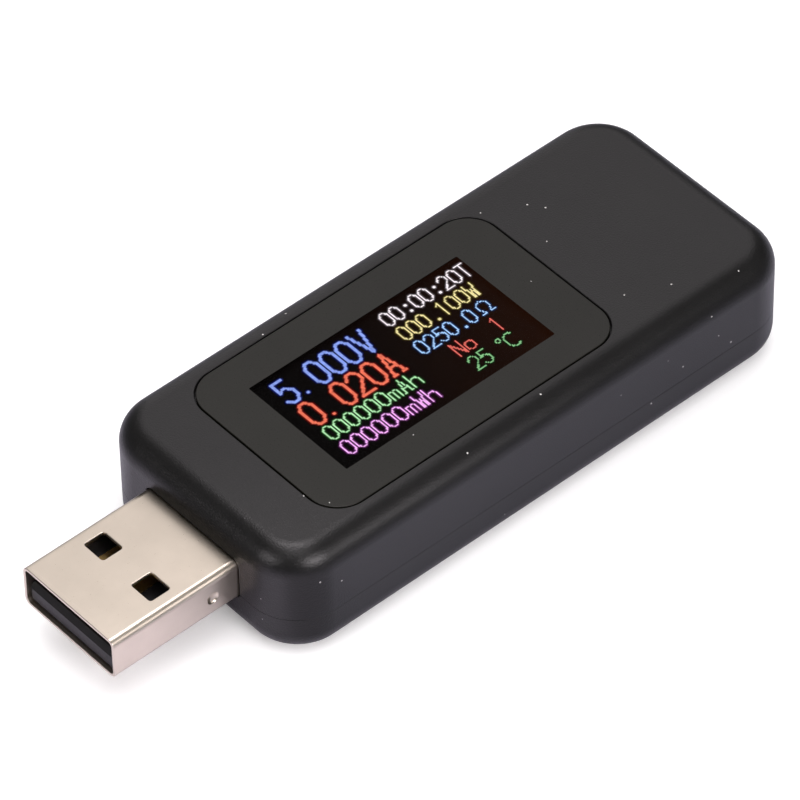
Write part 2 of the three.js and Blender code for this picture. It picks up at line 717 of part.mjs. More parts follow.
function plugShell() {
  const tube = steelTube(PLUG_WIDTH, PLUG_HEIGHT, PLUG_CORNER, [PLUG_TIP, PLUG_REAR]);
  const tabs = sideTabs(PLUG_WIDTH, [PLUG_REAR - SHEET, PLUG_REAR + TAB_LENGTH]);
  const tabbed = join(tube, tabs);

  const holeX = PLUG_TIP + PLUG_HOLE_START + PLUG_HOLE_LENGTH / 2;
  const through = [-PLUG_HEIGHT, PLUG_HEIGHT];
  const holes = [-1, 1].map((side) => {
    const outline = roundedRectangle(PLUG_HOLE_LENGTH, PLUG_HOLE_WIDTH, PLUG_HOLE_CORNER);
    return slab(outline, through).translate(holeX, side * PLUG_HOLE_Y, 0);
  });

  const { x, z, radius, depth } = PLUG_DIMPLE;
  const ballRadius = (radius * radius + depth * depth) / (2 * depth);
  const dimples = [-1, 1].map((side) => {
    const ball = new THREE.SphereGeometry(ballRadius, ROUND_SEGMENTS, ROUND_SEGMENTS);
    return ball.translate(x, side * (PLUG_WIDTH / 2 - depth + ballRadius), z);
  });
  return cut(tabbed, [...holes, ...dimples]);
}

const INSULATOR_GAP = 0.05; // between an insulator and the steel round it

function plugInsulator() {
  const front = PLUG_TIP + PLUG_TONGUE_RECESS;
  const rear = PLUG_REAR - FIT_GAP;
  const boreWidth = PLUG_WIDTH - 2 * SHEET - 2 * INSULATOR_GAP;
  const boreHeight = PLUG_HEIGHT - 2 * SHEET - 2 * INSULATOR_GAP;
  const corner = PLUG_CORNER - SHEET;
  const filling = barAlongX(roundedRectangle(boreWidth, boreHeight, corner), [front, rear]);
  const cavity = block([front - OVERSHOOT, PLUG_BLOCK_X], PAST_CASE, [0, PLUG_HEIGHT]);
  return cut(filling, [cavity, ...contactSlots([front, rear + OVERSHOOT])]);
}

function addPlug(parent) {
  const group = groupAt(FRONT_X, 0, CONNECTOR_Z);
  addPiece(group, "plug_shell", PLATED_STEEL, plugShell());
  addPiece(group, "plug_insulator", BLACK_NYLON, plugInsulator());
  CONTACT_Y.forEach((y, i) => {
    const outer = i === 0 || i === CONTACT_Y.length - 1;
    const start = PLUG_TIP + (outer ? OUTER_CONTACT_START : INNER_CONTACT_START);
    const z = [CONTACT_Z, CONTACT_Z + CONTACT_THICKNESS];
    const strip = block([start, PLUG_TAIL_END], span(y, CONTACT_WIDTH), z);
    addPiece(group, "plug_contact_" + (i + 1), GOLD_PLATE, strip);
  });
  parent.add(group);
}

// The sprung leaves in the socket's shell, two above and two below, which press on the plug.
const LEAF_Y = 3;
const LEAF_WIDTH = 1.8;
const LEAF_WINDOW_GAP = 0.4;
const LEAF_X = [-9.2, -2];
const LEAF_PRESS = 0.38;
const LEAF_THICKNESS = 0.24;
const LEAF_TIP = 1.5; // the length of the turned-up tip

function leafWindow(side) {
  const z = span((side * SOCKET_HEIGHT) / 2, 2 * SHEET + OVERSHOOT);
  return [-LEAF_Y, LEAF_Y].map((y) => block(LEAF_X, span(y, LEAF_WIDTH + 2 * LEAF_WINDOW_GAP), z));
}

function leaves(side) {
  const [rear, front] = LEAF_X;
  const sheetZ = (side * (SOCKET_HEIGHT - SHEET)) / 2;
  const pressZ = sheetZ - side * LEAF_PRESS;
  const line = [
    [rear - SHEET, sheetZ],
    [rear + SHEET, sheetZ],
    [front - LEAF_TIP, pressZ],
    [front - SHEET, sheetZ - (side * LEAF_PRESS) / 2],
  ];
  const outline = stripOutline(line, LEAF_THICKNESS);
  return [-LEAF_Y, LEAF_Y].map((y) => barAlongY(outline, span(y, LEAF_WIDTH)));
}

function socketShell() {
  const range = [SOCKET_REAR, SOCKET_MOUTH];
  const tube = steelTube(SOCKET_WIDTH, SOCKET_HEIGHT, SOCKET_CORNER, range);
  const lipOutline = roundedRectangle(
    SOCKET_WIDTH + 2 * SOCKET_LIP,
    SOCKET_HEIGHT + 2 * SOCKET_LIP,
    SOCKET_CORNER + SOCKET_LIP,
  );
  const lipBore = roundedRectangle(
    SOCKET_WIDTH - SHEET,
    SOCKET_HEIGHT - SHEET,
    SOCKET_CORNER - SHEET / 2,
  );
  const lip = barAlongX(ring(lipOutline, lipBore), [
    SOCKET_MOUTH - SOCKET_LIP_DEPTH,
    SOCKET_MOUTH - SOCKET_LIP_STEP,
  ]);
  const tabs = sideTabs(SOCKET_WIDTH, [SOCKET_REAR - TAB_LENGTH, SOCKET_REAR + SHEET]);
  const windowed = cut(join(tube, [lip, ...tabs]), [...leafWindow(-1), ...leafWindow(1)]);
  return join(windowed, [...leaves(-1), ...leaves(1)]);
}

function socketInsulator() {
  const [blockFront, tongueFront] = SOCKET_TONGUE_X;
  const rear = SOCKET_REAR + FIT_GAP;
  const boreWidth = SOCKET_WIDTH - 2 * SHEET - 2 * INSULATOR_GAP;
  const boreHeight = SOCKET_HEIGHT - 2 * SHEET - 2 * INSULATOR_GAP;
  const back = barAlongX(roundedRectangle(boreWidth, boreHeight, SOCKET_CORNER - SHEET), [
    rear,
    blockFront,
  ]);
  const tongueX = [blockFront - OVERSHOOT, tongueFront];
  const tongue = block(tongueX, span(0, SOCKET_TONGUE_WIDTH), SOCKET_TONGUE_Z);
  return cut(join(back, [tongue]), contactSlots([rear - OVERSHOOT, blockFront + OVERSHOOT]));
}

// A socket contact lies under the tongue and bows down to meet the plug's contact.
const SOCKET_BOW_X = [-8.3, -4, -3.2, -2.2];
const SOCKET_BOW = 0.3;

function socketContact() {
  const [bowStart, lowStart, lowEnd, tip] = SOCKET_BOW_X;
  const z = CONTACT_Z + CONTACT_THICKNESS / 2;
  const line = [
    [SOCKET_TAIL_END, z],
    [bowStart, z],
    [lowStart, z - SOCKET_BOW],
    [lowEnd, z - SOCKET_BOW],
    [tip, z],
  ];
  return barAlongY(stripOutline(line, CONTACT_THICKNESS), span(0, CONTACT_WIDTH));
}

function addSocket(parent) {
  const group = groupAt(REAR_X, 0, CONNECTOR_Z);
  addPiece(group, "socket_shell", PLATED_STEEL, socketShell());
  addPiece(group, "socket_insulator", BLACK_NYLON, socketInsulator());
  CONTACT_Y.forEach((y, i) => {
    addPiece(group, "socket_contact_" + (i + 1), GOLD_PLATE, socketContact(), [0, y, 0]);
  });
  parent.add(group);
}

// ---- Side key and its switch ----
// Their group's origin is the middle of the key where it leaves the case's side wall, and the
// key slides in along -Y.

const KEY_BACK = -2.15; // the flange's inner face, from the side wall's outer face
const PLUNGER_GAP = 0.05;
const PLUNGER_TIP = KEY_BACK - PLUNGER_GAP;

function keyOpening() {
  const outline = roundedRectangle(
    KEY_LENGTH + 2 * KEY_GAP,
    KEY_HEIGHT + 2 * KEY_GAP,
    KEY_CORNER + KEY_GAP,
  );
  const wallY = CASE_WIDTH / 2;
  const tool = barAlongY(outline, [wallY - WALL - OVERSHOOT, wallY + OVERSHOOT]);
  return tool.translate(KEY_X, 0, KEY_Z);
}

function sideKey() {
  const cap = barAlongY(
    roundedRectangle(KEY_LENGTH, KEY_HEIGHT, KEY_CORNER),
    [KEY_BACK, KEY_PROUD],
    KEY_EDGE,
  );
  const flange = barAlongY(
    roundedRectangle(
      KEY_LENGTH + 2 * KEY_FLANGE,
      KEY_HEIGHT + 2 * KEY_FLANGE,
      KEY_CORNER + KEY_FLANGE,
    ),
    [KEY_BACK, KEY_BACK + KEY_FLANGE],
  );
  return join(flange, [cap]);
}

const SWITCH_FRONT = -2.97; // the cover's outer face
const SWITCH_LENGTH = 6;
const SWITCH_COVER_SHEET = 0.2;
const SWITCH_BASE_Y = [-5.6, SWITCH_FRONT - SWITCH_COVER_SHEET - LAYER_GAP];
const SWITCH_Z = [BOARD_TOP_Z + LAYER_GAP - KEY_Z, 1.3];
const WELL_RADIUS = 1.7;
const DOME_RADIUS = 1.5;
const DOME_RISE = 0.3;
const DOME_SHEET = 0.1;
const PLUNGER_FOOT_RADIUS = 1.4;
const PLUNGER_FOOT_THICKNESS = 0.3;
const DOME_SPACE = LAYER_GAP + DOME_RISE + DOME_SHEET + FIT_GAP;
const WELL_DEPTH = DOME_SPACE + KEY_TRAVEL + PLUNGER_FOOT_THICKNESS + LAYER_GAP;
const PLUNGER_LENGTH = 2.4;
const PLUNGER_HEIGHT = 1.2;
const PLUNGER_HOLE_GAP = 0.15;

// A round rod along y.
function rodAlongY(radius, [low, high]) {
  return rod(radius, [-high, -low]).applyMatrix4(XZ_TO_Y);
}

function switchBase() {
  const body = block(span(0, SWITCH_LENGTH), SWITCH_BASE_Y, SWITCH_Z);
  const front = SWITCH_BASE_Y[1];
  return cut(body, [rodAlongY(WELL_RADIUS, [front - WELL_DEPTH, front + OVERSHOOT])]);
}

// The snap dome: a thin cap of a sphere in the well, bulging towards the plunger.
function switchDome() {
  const floor = SWITCH_BASE_Y[1] - WELL_DEPTH + LAYER_GAP;
  const sphere = (DOME_RADIUS * DOME_RADIUS + DOME_RISE * DOME_RISE) / (2 * DOME_RISE);
  const STEPS = 4;
  const reach = Math.asin(DOME_RADIUS / sphere);
  const capLine = (radius) =>
    Array.from({ length: STEPS + 1 }, (_, i) => {
      const angle = (reach * i) / STEPS;
      return new THREE.Vector2(
        i === 0 ? 0 : radius * Math.sin(angle),
        DOME_RISE - sphere + radius * Math.cos(angle),
      );
    });
  const profile = [...capLine(sphere), ...capLine(sphere + DOME_SHEET).reverse()];
  const dome = new THREE.LatheGeometry(profile, ROUND_SEGMENTS);
  return dome.translate(0, floor, 0);
}

function switchPlunger() {
  const footFront = SWITCH_BASE_Y[1] - LAYER_GAP;
  const foot = rodAlongY(PLUNGER_FOOT_RADIUS, [footFront - PLUNGER_FOOT_THICKNESS, footFront]);
  const stem = block(
    span(0, PLUNGER_LENGTH),
    [footFront - PLUNGER_FOOT_THICKNESS / 2, PLUNGER_TIP],
    span(0, PLUNGER_HEIGHT),
  );
  return join(foot, [stem]);
}

function switchCover() {
  const sideX = SWITCH_LENGTH / 2 + LAYER_GAP + SWITCH_COVER_SHEET;
  const plateY = [SWITCH_FRONT - SWITCH_COVER_SHEET, SWITCH_FRONT];
  const wrapY = [(SWITCH_BASE_Y[0] + SWITCH_BASE_Y[1]) / 2, SWITCH_FRONT];
  const envelope = block([-sideX, sideX], wrapY, SWITCH_Z);
  const inside = block(
    inset([-sideX, sideX], SWITCH_COVER_SHEET),
    [wrapY[0] - OVERSHOOT, plateY[0]],
    inset(SWITCH_Z, -OVERSHOOT),
  );
  const hole = block(
    span(0, PLUNGER_LENGTH + 2 * PLUNGER_HOLE_GAP),
    inset(plateY, -OVERSHOOT),
    span(0, PLUNGER_HEIGHT + 2 * PLUNGER_HOLE_GAP),
  );
  return cut(envelope, [inside, hole]);
}

function addKey(parent) {
  const group = groupAt(KEY_X, CASE_WIDTH / 2, KEY_Z);
  addPiece(group, "side_key", KEY_PLASTIC, sideKey());
  addPiece(group, "switch_base", BLACK_NYLON, switchBase());
  addPiece(group, "switch_dome", TINNED_METAL, switchDome());
  addPiece(group, "switch_plunger", KEY_PLASTIC, switchPlunger());
  addPiece(group, "switch_cover", TINNED_METAL, switchCover());
  parent.add(group);
}

// ---- The meter ----

const meter = new THREE.Group();
addCase(meter);
addWindow(meter);
addDisplay(meter);
addBoard(meter);
addPlug(meter);
addSocket(meter);
addKey(meter);

export default meter;
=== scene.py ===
"""A pass-through USB power meter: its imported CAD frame, dressed with finished shells and materials.

Lengths are in millimetres until a mesh, lamp or camera is made. +X runs from the plug to the
socket, +Y points to the side with the key and +Z is up.
"""

import json
import math

import bmesh
import bpy
from mathutils import Matrix, Vector

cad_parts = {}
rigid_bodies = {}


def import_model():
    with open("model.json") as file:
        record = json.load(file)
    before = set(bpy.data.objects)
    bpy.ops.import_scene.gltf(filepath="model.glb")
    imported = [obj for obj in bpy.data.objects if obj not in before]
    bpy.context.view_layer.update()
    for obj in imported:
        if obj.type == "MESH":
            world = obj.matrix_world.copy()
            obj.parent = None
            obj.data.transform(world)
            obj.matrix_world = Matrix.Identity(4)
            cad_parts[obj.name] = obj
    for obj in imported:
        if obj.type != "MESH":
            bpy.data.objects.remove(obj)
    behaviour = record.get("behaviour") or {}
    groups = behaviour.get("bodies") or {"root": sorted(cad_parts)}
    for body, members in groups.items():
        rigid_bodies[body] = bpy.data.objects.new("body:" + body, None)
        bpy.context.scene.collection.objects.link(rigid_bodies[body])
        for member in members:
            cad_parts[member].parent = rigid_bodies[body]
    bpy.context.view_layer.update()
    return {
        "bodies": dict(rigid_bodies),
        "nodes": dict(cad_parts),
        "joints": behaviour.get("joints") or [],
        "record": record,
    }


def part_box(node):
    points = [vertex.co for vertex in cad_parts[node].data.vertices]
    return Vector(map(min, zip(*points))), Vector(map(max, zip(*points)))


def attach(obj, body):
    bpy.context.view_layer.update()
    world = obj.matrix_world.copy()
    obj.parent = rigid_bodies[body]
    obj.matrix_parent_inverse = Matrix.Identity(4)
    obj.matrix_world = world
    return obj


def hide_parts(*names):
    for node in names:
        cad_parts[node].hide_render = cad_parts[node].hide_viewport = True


MM = 0.001

# ---- Sizes that the frame's boxes don't give ----

CASE_CORNER = 5.0
TOP_FILLET = 2.5
BOTTOM_FILLET = 2.6
CAVITY_FILLET = 1.0
WALL = 1.6
LIP_THICKNESS = 0.7
LIP_HEIGHT = 1.0
FIT_GAP = 0.1
ANCHOR_DEPTH = 0.4  # how far a post or a rib runs into the wall that it stands on
RIM_ROUND = 0.03  # the moulded edges along the seam
SEAM_GAP = 0.014
EDGE_ROUND = 0.08  # the moulded edges round the openings

POST_RADIUS = 1.5
PIN_RADIUS = 0.75
PIN_HOLE_RADIUS = 0.95
POST_X = (-22.4, 6.5)
POST_Y = 9.1
RIB_WIDTH = 8.0
RIB_THICKNESS = 1.0
RIB_GAP = 0.15
PLUG_RIB_X = -26.6
SOCKET_RIB_X = (18.6, 24.0)

WINDOW_CORNER = 3.15
WINDOW_GAP = 0.15
WINDOW_EDGE = 0.06
TAPE_SPACE = 0.15
VIEW_LENGTH = 23.9  # the clear part of the window
VIEW_WIDTH = 12.8
VIEW_CENTRE = (-5.62, -0.06)
VIEW_CORNER = 0.12
CLEAR_REFLECTION = 0.02  # the share of light that its coating still reflects
PRINT_MARGIN = 0.6  # the pane's underside is clear this much wider than its top
DISPLAY_MARGIN = 0.3
FLEX_SPACE = 1.5

SHEET = 0.3
PLUG_CORNER = 0.7
PLUG_HOLE_START = 5.4
PLUG_HOLE_LENGTH = 2.2
PLUG_HOLE_WIDTH = 2.55
PLUG_HOLE_Y = 3.13
PLUG_HOLE_CORNER = 0.28
PLUG_HOLE_ROUND = 0.09
PLUG_TIP_ROUND = 0.06
PLUG_REAR = 5.0
DIMPLE_X = -2.8  # from the case's front wall
DIMPLE_Z = -0.1  # from the connectors' mid-height
DIMPLE_RADIUS = 0.6
DIMPLE_DEPTH = 0.26
DIMPLE_REACH = 1.2  # in its own radius: how far round it the shell's points are close together
DIMPLE_STEP = 0.06
SIDE_STEPS = 55  # from the bottom to the top of the plug's side walls, for the dimple's sake
TAB_Z = (-1.4, 0.9)
TONGUE_EDGE = 0.3
TONGUE_BEVEL = (0.5, 0.4)  # its length along the tongue, and its height
TONGUE_BLOCK_X = -1.5  # the plug's insulator fills the shell behind this place, from the wall
CONTACT_CLEARANCE = 0.04
FOLD_GAP = 0.06  # the seam where the shell's sheet meets itself
DOVETAIL = 0.9  # the seam's dovetail: its height, and half its width at the neck
DOVETAIL_SPREAD = 1.4  # how many times wider it is at its end

SOCKET_CORNER = 0.7
SOCKET_LIP = 0.4
SOCKET_LIP_EDGE = 0.1
SOCKET_REAR = -13.6
LEAF_Y = 3.0
LEAF_WIDTH = 1.8
LEAF_X = (-9.2, -2.0)
LEAF_GAP = 0.4
LEAF_PRESS = 0.38
LEAF_THICKNESS = 0.24

KEY_FLANGE = 0.45
KEY_CORNER = 1.2
KEY_EDGE = 0.3
KEY_CROWN = 0.06
KEY_CROWN_INSETS = (0.35, 0.75)  # from its round edge
KEY_GAP = 0.15

CORNER_STEPS = 16
FILLET_STEPS = 14
SMALL_STEPS = 5
ROUND_STEPS = 8  # flats in a quarter turn of a post
SHARP_ANGLE = 32.0
TINY = 0.02
WELD = 0.0002
OVERSHOOT = 1.0  # how far a cutting tool runs past the piece

# ---- The display's figures ----

LETTER_DOTS = {"large": (12, 24), "small": (8, 16)}  # a character cell's columns and rows
GLYPH_DOTS = {"large": (11, 22), "small": (7, 13)}
GLYPH_TOP = 2  # blank rows above a glyph
PEN = {"large": 2.0, "small": 1.0}  # in dots
LEFT_START = (-15.94, 6.11)  # the upper left corners of the two columns of figures
RIGHT_START = (-3.42, 6.22)
LEFT_DOT = (0.147, 0.1425)
RIGHT_DOT = (0.1393, 0.1416)
READOUT_HEIGHT = 0.02
READOUT_LIFT = 0.004
DOT_GAP = 0.03  # in dots
DOT_LIGHT = {"large": 1.0, "small": 1.2}
FRINGE_LIGHT = 0.10
FRINGE_DEPTH = 3.0  # a fringe's colour is deeper than its figure's

VOLTS = 5.0
AMPS = 0.02
SECONDS = 20
CELSIUS = 25

# ---- Camera, floor and light ----

CAMERA_AIM = (-5.1, 0.97, 6.0)
CAMERA_AZIMUTH = -40.51  # in degrees, from -Y
CAMERA_ELEVATION = 46.17
CAMERA_ROLL = -1.204
CAMERA_DISTANCE = 578.4
CAMERA_LENS = 299.36
FLOOR_SIZE = 6000.0
LIT_RADII = (55, 27)  # of the oval that is brightly lit, round the origin
DIM_FLOOR = 2.2  # the floor is darkest from this many times those radii
PLUG_FLOOR_X = (-36, -22)  # between these, the brighter painted light by the plug turns to the dimmer painted light by the case
SHADE_CENTRE = (-30, -20)  # of the dimmer oval by the case's near corner
SHADE_RADII = (11, 7.5)
SHADE_EDGE = (0.7, 1.1)  # in those radii: where it begins to fade, and where it ends
SHADE = 0.35  # the share of its light that it loses
FLOOR_LIFT = 0.25  # extra light that only the camera sees, which softens the shadow
LAMP_TINT = (1.03, 0.97, 1.0)  # of the lamps that the object mirrors
NEAR_CORNER = (-26.0, -9.0, 12.0)  # of the case, by the plug: the small lamps light it

# ---- Outlines and lofts ----

# Each axis runs along w, and (u, v, w) turns to (x, y, z) without a mirror image.
AXES = {
    "X": lambda u, v, w: (w, u, v),
    "Y": lambda u, v, w: (v, w, u),
    "Z": lambda u, v, w: (u, v, w),
}


def box_mm(node):
    """A CAD node's lowest and highest corners, in millimetres."""
    low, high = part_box(node)
    return low / MM, high / MM


def rounded_loop(size_u, size_v, radius, steps, side_steps=(1, 1)):
    """Points anticlockwise round a rectangle with round corners, centred on (0, 0)."""
    radius = max(radius, TINY)
    far_u = size_u / 2 - radius
    far_v = size_v / 2 - radius
    corners = [(far_u, far_v), (-far_u, far_v), (-far_u, -far_v), (far_u, -far_v)]
    arcs = []
    for turn, (centre_u, centre_v) in enumerate(corners):
        angles = [(turn + step / steps) * math.pi / 2 for step in range(steps + 1)]
        arcs.append(
            [(centre_u + radius * math.cos(a), centre_v + radius * math.sin(a)) for a in angles]
        )
    points = []
    for turn, arc in enumerate(arcs):
        points += arc
        start, end = Vector(arc[-1]), Vector(arcs[(turn + 1) % 4][0])
        count = side_steps[turn % 2]
        points += [tuple(start.lerp(end, i / count)) for i in range(1, count)]
    return points


def bend(centre, radius, start, end, steps):
    """(inset, height) points along an arc between two angles in degrees."""
    angles = [math.radians(start + (end - start) * i / steps) for i in range(steps + 1)]
    return [(centre[0] + radius * math.cos(a), centre[1] + radius * math.sin(a)) for a in angles]


def flared(inset, start, face, radius):
    """A cutting tool's profile from deep in a wall out past its face, which leaves a round rim."""
    out = 1 if face > start else -1
    rim = [(inset - radius + x, face - out * (radius - y)) for x, y in
           bend((0, 0), radius, 0, 90, SMALL_STEPS)]
    profile = [(inset, start)] + rim + [(inset - radius, face + out * OVERSHOOT)]
    return profile if out > 0 else profile[::-1]


def link(name, mesh):
    piece = bpy.data.objects.new(name, mesh)
    bpy.context.scene.collection.objects.link(piece)
    return piece


def make_piece(name, points, faces):
    mesh = bpy.data.meshes.new(name)
    mesh.from_pydata([Vector(point) * MM for point in points], [], faces)
    mesh.update()
    return link(name, mesh)


def loft(name, rings, wrap=False):
    """A closed body through rings of equally many points, with flat ends, or a tube if wrapped."""
    count = len(rings[0])
    faces = []
    pairs = [(i, i + 1) for i in range(len(rings) - 1)]
    if wrap:
        pairs.append((len(rings) - 1, 0))
    for a, b in pairs:
        for j in range(count):
            k = (j + 1) % count
            faces.append((a * count + j, a * count + k, b * count + k, b * count + j))
    if not wrap:
        last = (len(rings) - 1) * count
        faces.append(tuple(reversed(range(count))))
        faces.append(tuple(range(last, last + count)))
    return make_piece(name, [point for ring in rings for point in ring], faces)


def sweep(name, axis, centre, size, radius, profile, wrap=False, steps=CORNER_STEPS, sides=(1, 1)):
    """A rounded rectangle lofted through (inset, place along the axis) pairs."""
    place = AXES[axis]
    rings = []
    for inset, w in profile:
        loop = rounded_loop(
            size[0] - 2 * inset, size[1] - 2 * inset, radius - inset, steps, sides
        )
        rings.append([place(centre[0] + u, centre[1] + v, w) for u, v in loop])
    return loft(name, rings, wrap)


def rod(name, centre, radius, low, high):
    return sweep(
        name,
        "Z",
        centre,
        (2 * radius, 2 * radius),
        radius,
        [(0, low), (0, high)],
        steps=ROUND_STEPS,
    )


def block(name, x, y, z):
    centre = ((x[0] + x[1]) / 2, (y[0] + y[1]) / 2)
    size = (x[1] - x[0], y[1] - y[0])
    return sweep(name, "Z", centre, size, TINY, [(0, z[0]), (0, z[1])], steps=1)


def ribbon(name, axis, path, thickness, across):
    """A strip of even thickness along a path of (u, v) points, as wide as across along the axis."""
    line = [Vector(point) for point in path]
    place = AXES[axis]
    ways = [(b - a).normalized() for a, b in zip(line, line[1:])]
    rings = []
    for point, before, after in zip(line, ways[:1] + ways, ways + ways[-1:]):
        mitre = Vector((-before.y - after.y, before.x + after.x))
        side = mitre * thickness / mitre.length_squared
        ends = [(point - side, across[0]), (point + side, across[0])]
        ends += [(point + side, across[1]), (point - side, across[1])]
        rings.append([place(end.x, end.y, w) for end, w in ends])
    return loft(name, rings)


# ---- Joining, cutting and finishing ----


def bake_modifiers(piece):
    graph = bpy.context.evaluated_depsgraph_get()
    mesh = bpy.data.meshes.new_from_object(piece.evaluated_get(graph))
    piece.modifiers.clear()
    piece.data = mesh


def combine(piece, operation, tools):
    """Joins the tools to the piece, or cuts them out of it, and removes them."""
    for tool in tools:
        modifier = piece.modifiers.new("combine", "BOOLEAN")
        modifier.operation = operation
        modifier.solver = "EXACT"
        modifier.object = tool
    bpy.context.view_layer.update()
    bake_modifiers(piece)
    for tool in tools:
        bpy.data.objects.remove(tool)
    return piece


def join(piece, tools):
    return combine(piece, "UNION", tools)


def cut(piece, tools):
    return combine(piece, "DIFFERENCE", tools)


def smooth(piece):
    """Shades a piece smoothly except across its sharp edges."""
    shape = bmesh.new()
    shape.from_mesh(piece.data)
    bmesh.ops.remove_doubles(shape, verts=shape.verts, dist=WELD * MM)
    for face in shape.faces:
        face.smooth = True
    for edge in shape.edges:
        edge.smooth = edge.calc_face_angle(math.pi) < math.radians(SHARP_ANGLE)
    shape.to_mesh(piece.data)
    shape.free()
    weights = piece.modifiers.new("weights", "WEIGHTED_NORMAL")
    weights.keep_sharp = True
    return piece


def paint(piece, *materials):
    piece.data.materials.clear()
    for material in materials:
        piece.data.materials.append(material)


# ---- Node materials ----


class Recipe:
    """A node material that is written from its shader backwards."""

    def __init__(self, name):
        self.material = bpy.data.materials.new(name)
        self.material.use_nodes = True
        self.tree = self.material.node_tree
        self.shader = self.tree.nodes["Principled BSDF"]
        self.scaled = None

    def node(self, kind, inputs=None, **settings):
        new = self.tree.nodes.new("ShaderNode" + kind)
        for name, value in settings.items():
            setattr(new, name, value)
        for name, value in (inputs or {}).items():
            self.plug_in(new.inputs[name], value)
        return new

    def plug_in(self, socket, value):
        if isinstance(value, bpy.types.NodeSocket):
            self.tree.links.new(value, socket)
        else:
            socket.default_value = value

    def set(self, **inputs):
        for name, value in inputs.items():
            self.plug_in(self.shader.inputs[name.replace("_", " ")], value)

    def place(self):
        """The place on the object, in millimetres."""
        if self.scaled is None:
            coordinates = self.node("TexCoord").outputs["Object"]
            scale = self.node("VectorMath", {0: coordinates}, operation="SCALE")
            scale.inputs["Scale"].default_value = 1 / MM
            self.scaled = scale.outputs[0]
        return self.scaled

    def stretched(self, x, y, z):
        """The place with each axis scaled, for a grain that runs one way."""
        product = self.node("VectorMath", {0: self.place(), 1: (x, y, z)}, operation="MULTIPLY")
        return product.outputs[0]

    def noise(self, size, detail=3.0, roughness=0.55, vector=None):
        """Noise from 0 to 1 whose features are about size millimetres."""
        texture = self.node(
            "TexNoise",
            {
                "Vector": vector or self.place(),
                "Scale": 1 / size,
                "Detail": detail,
                "Roughness": roughness,
            },
        )
        return texture.outputs[0]

    def span(self, value, low, high, start=0.3, end=0.7):
        """A value between start and end, stretched to run from low to high."""
        ranged = self.node(
            "MapRange",
            {"Value": value, "From Min": start, "From Max": end, "To Min": low, "To Max": high},
        )
        return ranged.outputs[0]

    def mix(self, factor, first, second):
        mixed = self.node("Mix", data_type="RGBA")
        self.plug_in(mixed.inputs["Factor"], factor)
        self.plug_in(mixed.inputs[6], first)
        self.plug_in(mixed.inputs[7], second)
        return mixed.outputs[2]

    def maths(self, operation, first, second):
        return self.node("Math", {0: first, 1: second}, operation=operation).outputs[0]

    def bump(self, height, distance):
        """A bump whose full height is distance millimetres."""
        bumped = self.node("Bump", {"Height": height, "Distance": distance * MM, "Strength": 1.0})
        self.set(Normal=bumped.outputs[0])

    def specks(self, cell, radius, share):
        """1 on rare small dots: one cell in every 1 / share holds a dot of that radius."""
        cells = self.node(
            "TexVoronoi", {"Vector": self.place(), "Scale": 1 / cell, "Randomness": 1.0}
        )
        near = self.maths("LESS_THAN", cells.outputs["Distance"], radius / cell)
        parts = self.node("SeparateColor", {"Color": cells.outputs["Color"]})
        chosen = self.maths("LESS_THAN", parts.outputs[0], share)
        return self.maths("MULTIPLY", near, chosen)


def grey(value, warmth=0.0):
    """A linear grey, made warmer or, below zero, cooler."""
    return (value * (1 + warmth), value, value * (1 - warmth), 1.0)


def case_plastic():
    """Black ABS from a finely spark-eroded mould, with a little dust on it."""
    recipe = Recipe("case_plastic")
    cloud = recipe.noise(7.0, 2.0)
    grain = recipe.noise(0.16, 2.0, 0.6)
    dark, light = (0.0056, 0.0054, 0.0053, 1), (0.0068, 0.0066, 0.0065, 1)
    clean = recipe.mix(recipe.span(cloud, 0, 1), dark, light)
    dust = recipe.specks(1.9, 0.085, 0.6)
    recipe.set(
        Base_Color=recipe.mix(dust, clean, grey(0.5, 0.03)),
        Roughness=recipe.span(grain, 0.28, 0.36),
        IOR=1.45,
    )
    recipe.bump(grain, 0.028)
    return recipe.material


def key_plastic():
    recipe = Recipe("key_plastic")
    grain = recipe.noise(0.22, 2.0)
    cloud = recipe.noise(2.0, 2.0)
    recipe.set(
        Base_Color=recipe.mix(cloud, grey(0.007), grey(0.010)),
        Roughness=recipe.span(grain, 0.42, 0.55),
    )
    recipe.bump(grain, 0.006)
    return recipe.material


def window_print():
    """The pane's dark printed border under its hard coat."""
    recipe = Recipe("window_print")
    haze = recipe.noise(5.0, 3.0)
    grain = recipe.noise(0.12, 2.0)
    dust = recipe.specks(2.2, 0.06, 0.4)
    dark, light = (0.0068, 0.0068, 0.0048, 1), (0.0082, 0.0082, 0.0060, 1)
    ink = recipe.mix(recipe.span(haze, 0, 1), dark, light)
    recipe.set(
        Base_Color=recipe.mix(dust, ink, grey(0.45, 0.03)),
        Roughness=recipe.span(grain, 0.27, 0.33),
        IOR=1.375,
    )
    recipe.bump(grain, 0.0015)
    return recipe.material


def window_clear():
    """The pane's clear part, with a coating that hardly reflects."""
    recipe = Recipe("window_clear")
    smear = recipe.noise(6.0, 2.0)
    recipe.set(Base_Color=grey(0.001), Roughness=recipe.span(smear, 0.25, 0.32), IOR=1.45)
    clear = recipe.node("BsdfTransparent", {"Color": grey(1.0)})
    blend = recipe.node("MixShader", {0: CLEAR_REFLECTION, 1: clear.outputs[0]})
    recipe.plug_in(blend.inputs[2], recipe.shader.outputs[0])
    recipe.plug_in(recipe.tree.nodes["Material Output"].inputs["Surface"], blend.outputs[0])
    return recipe.material


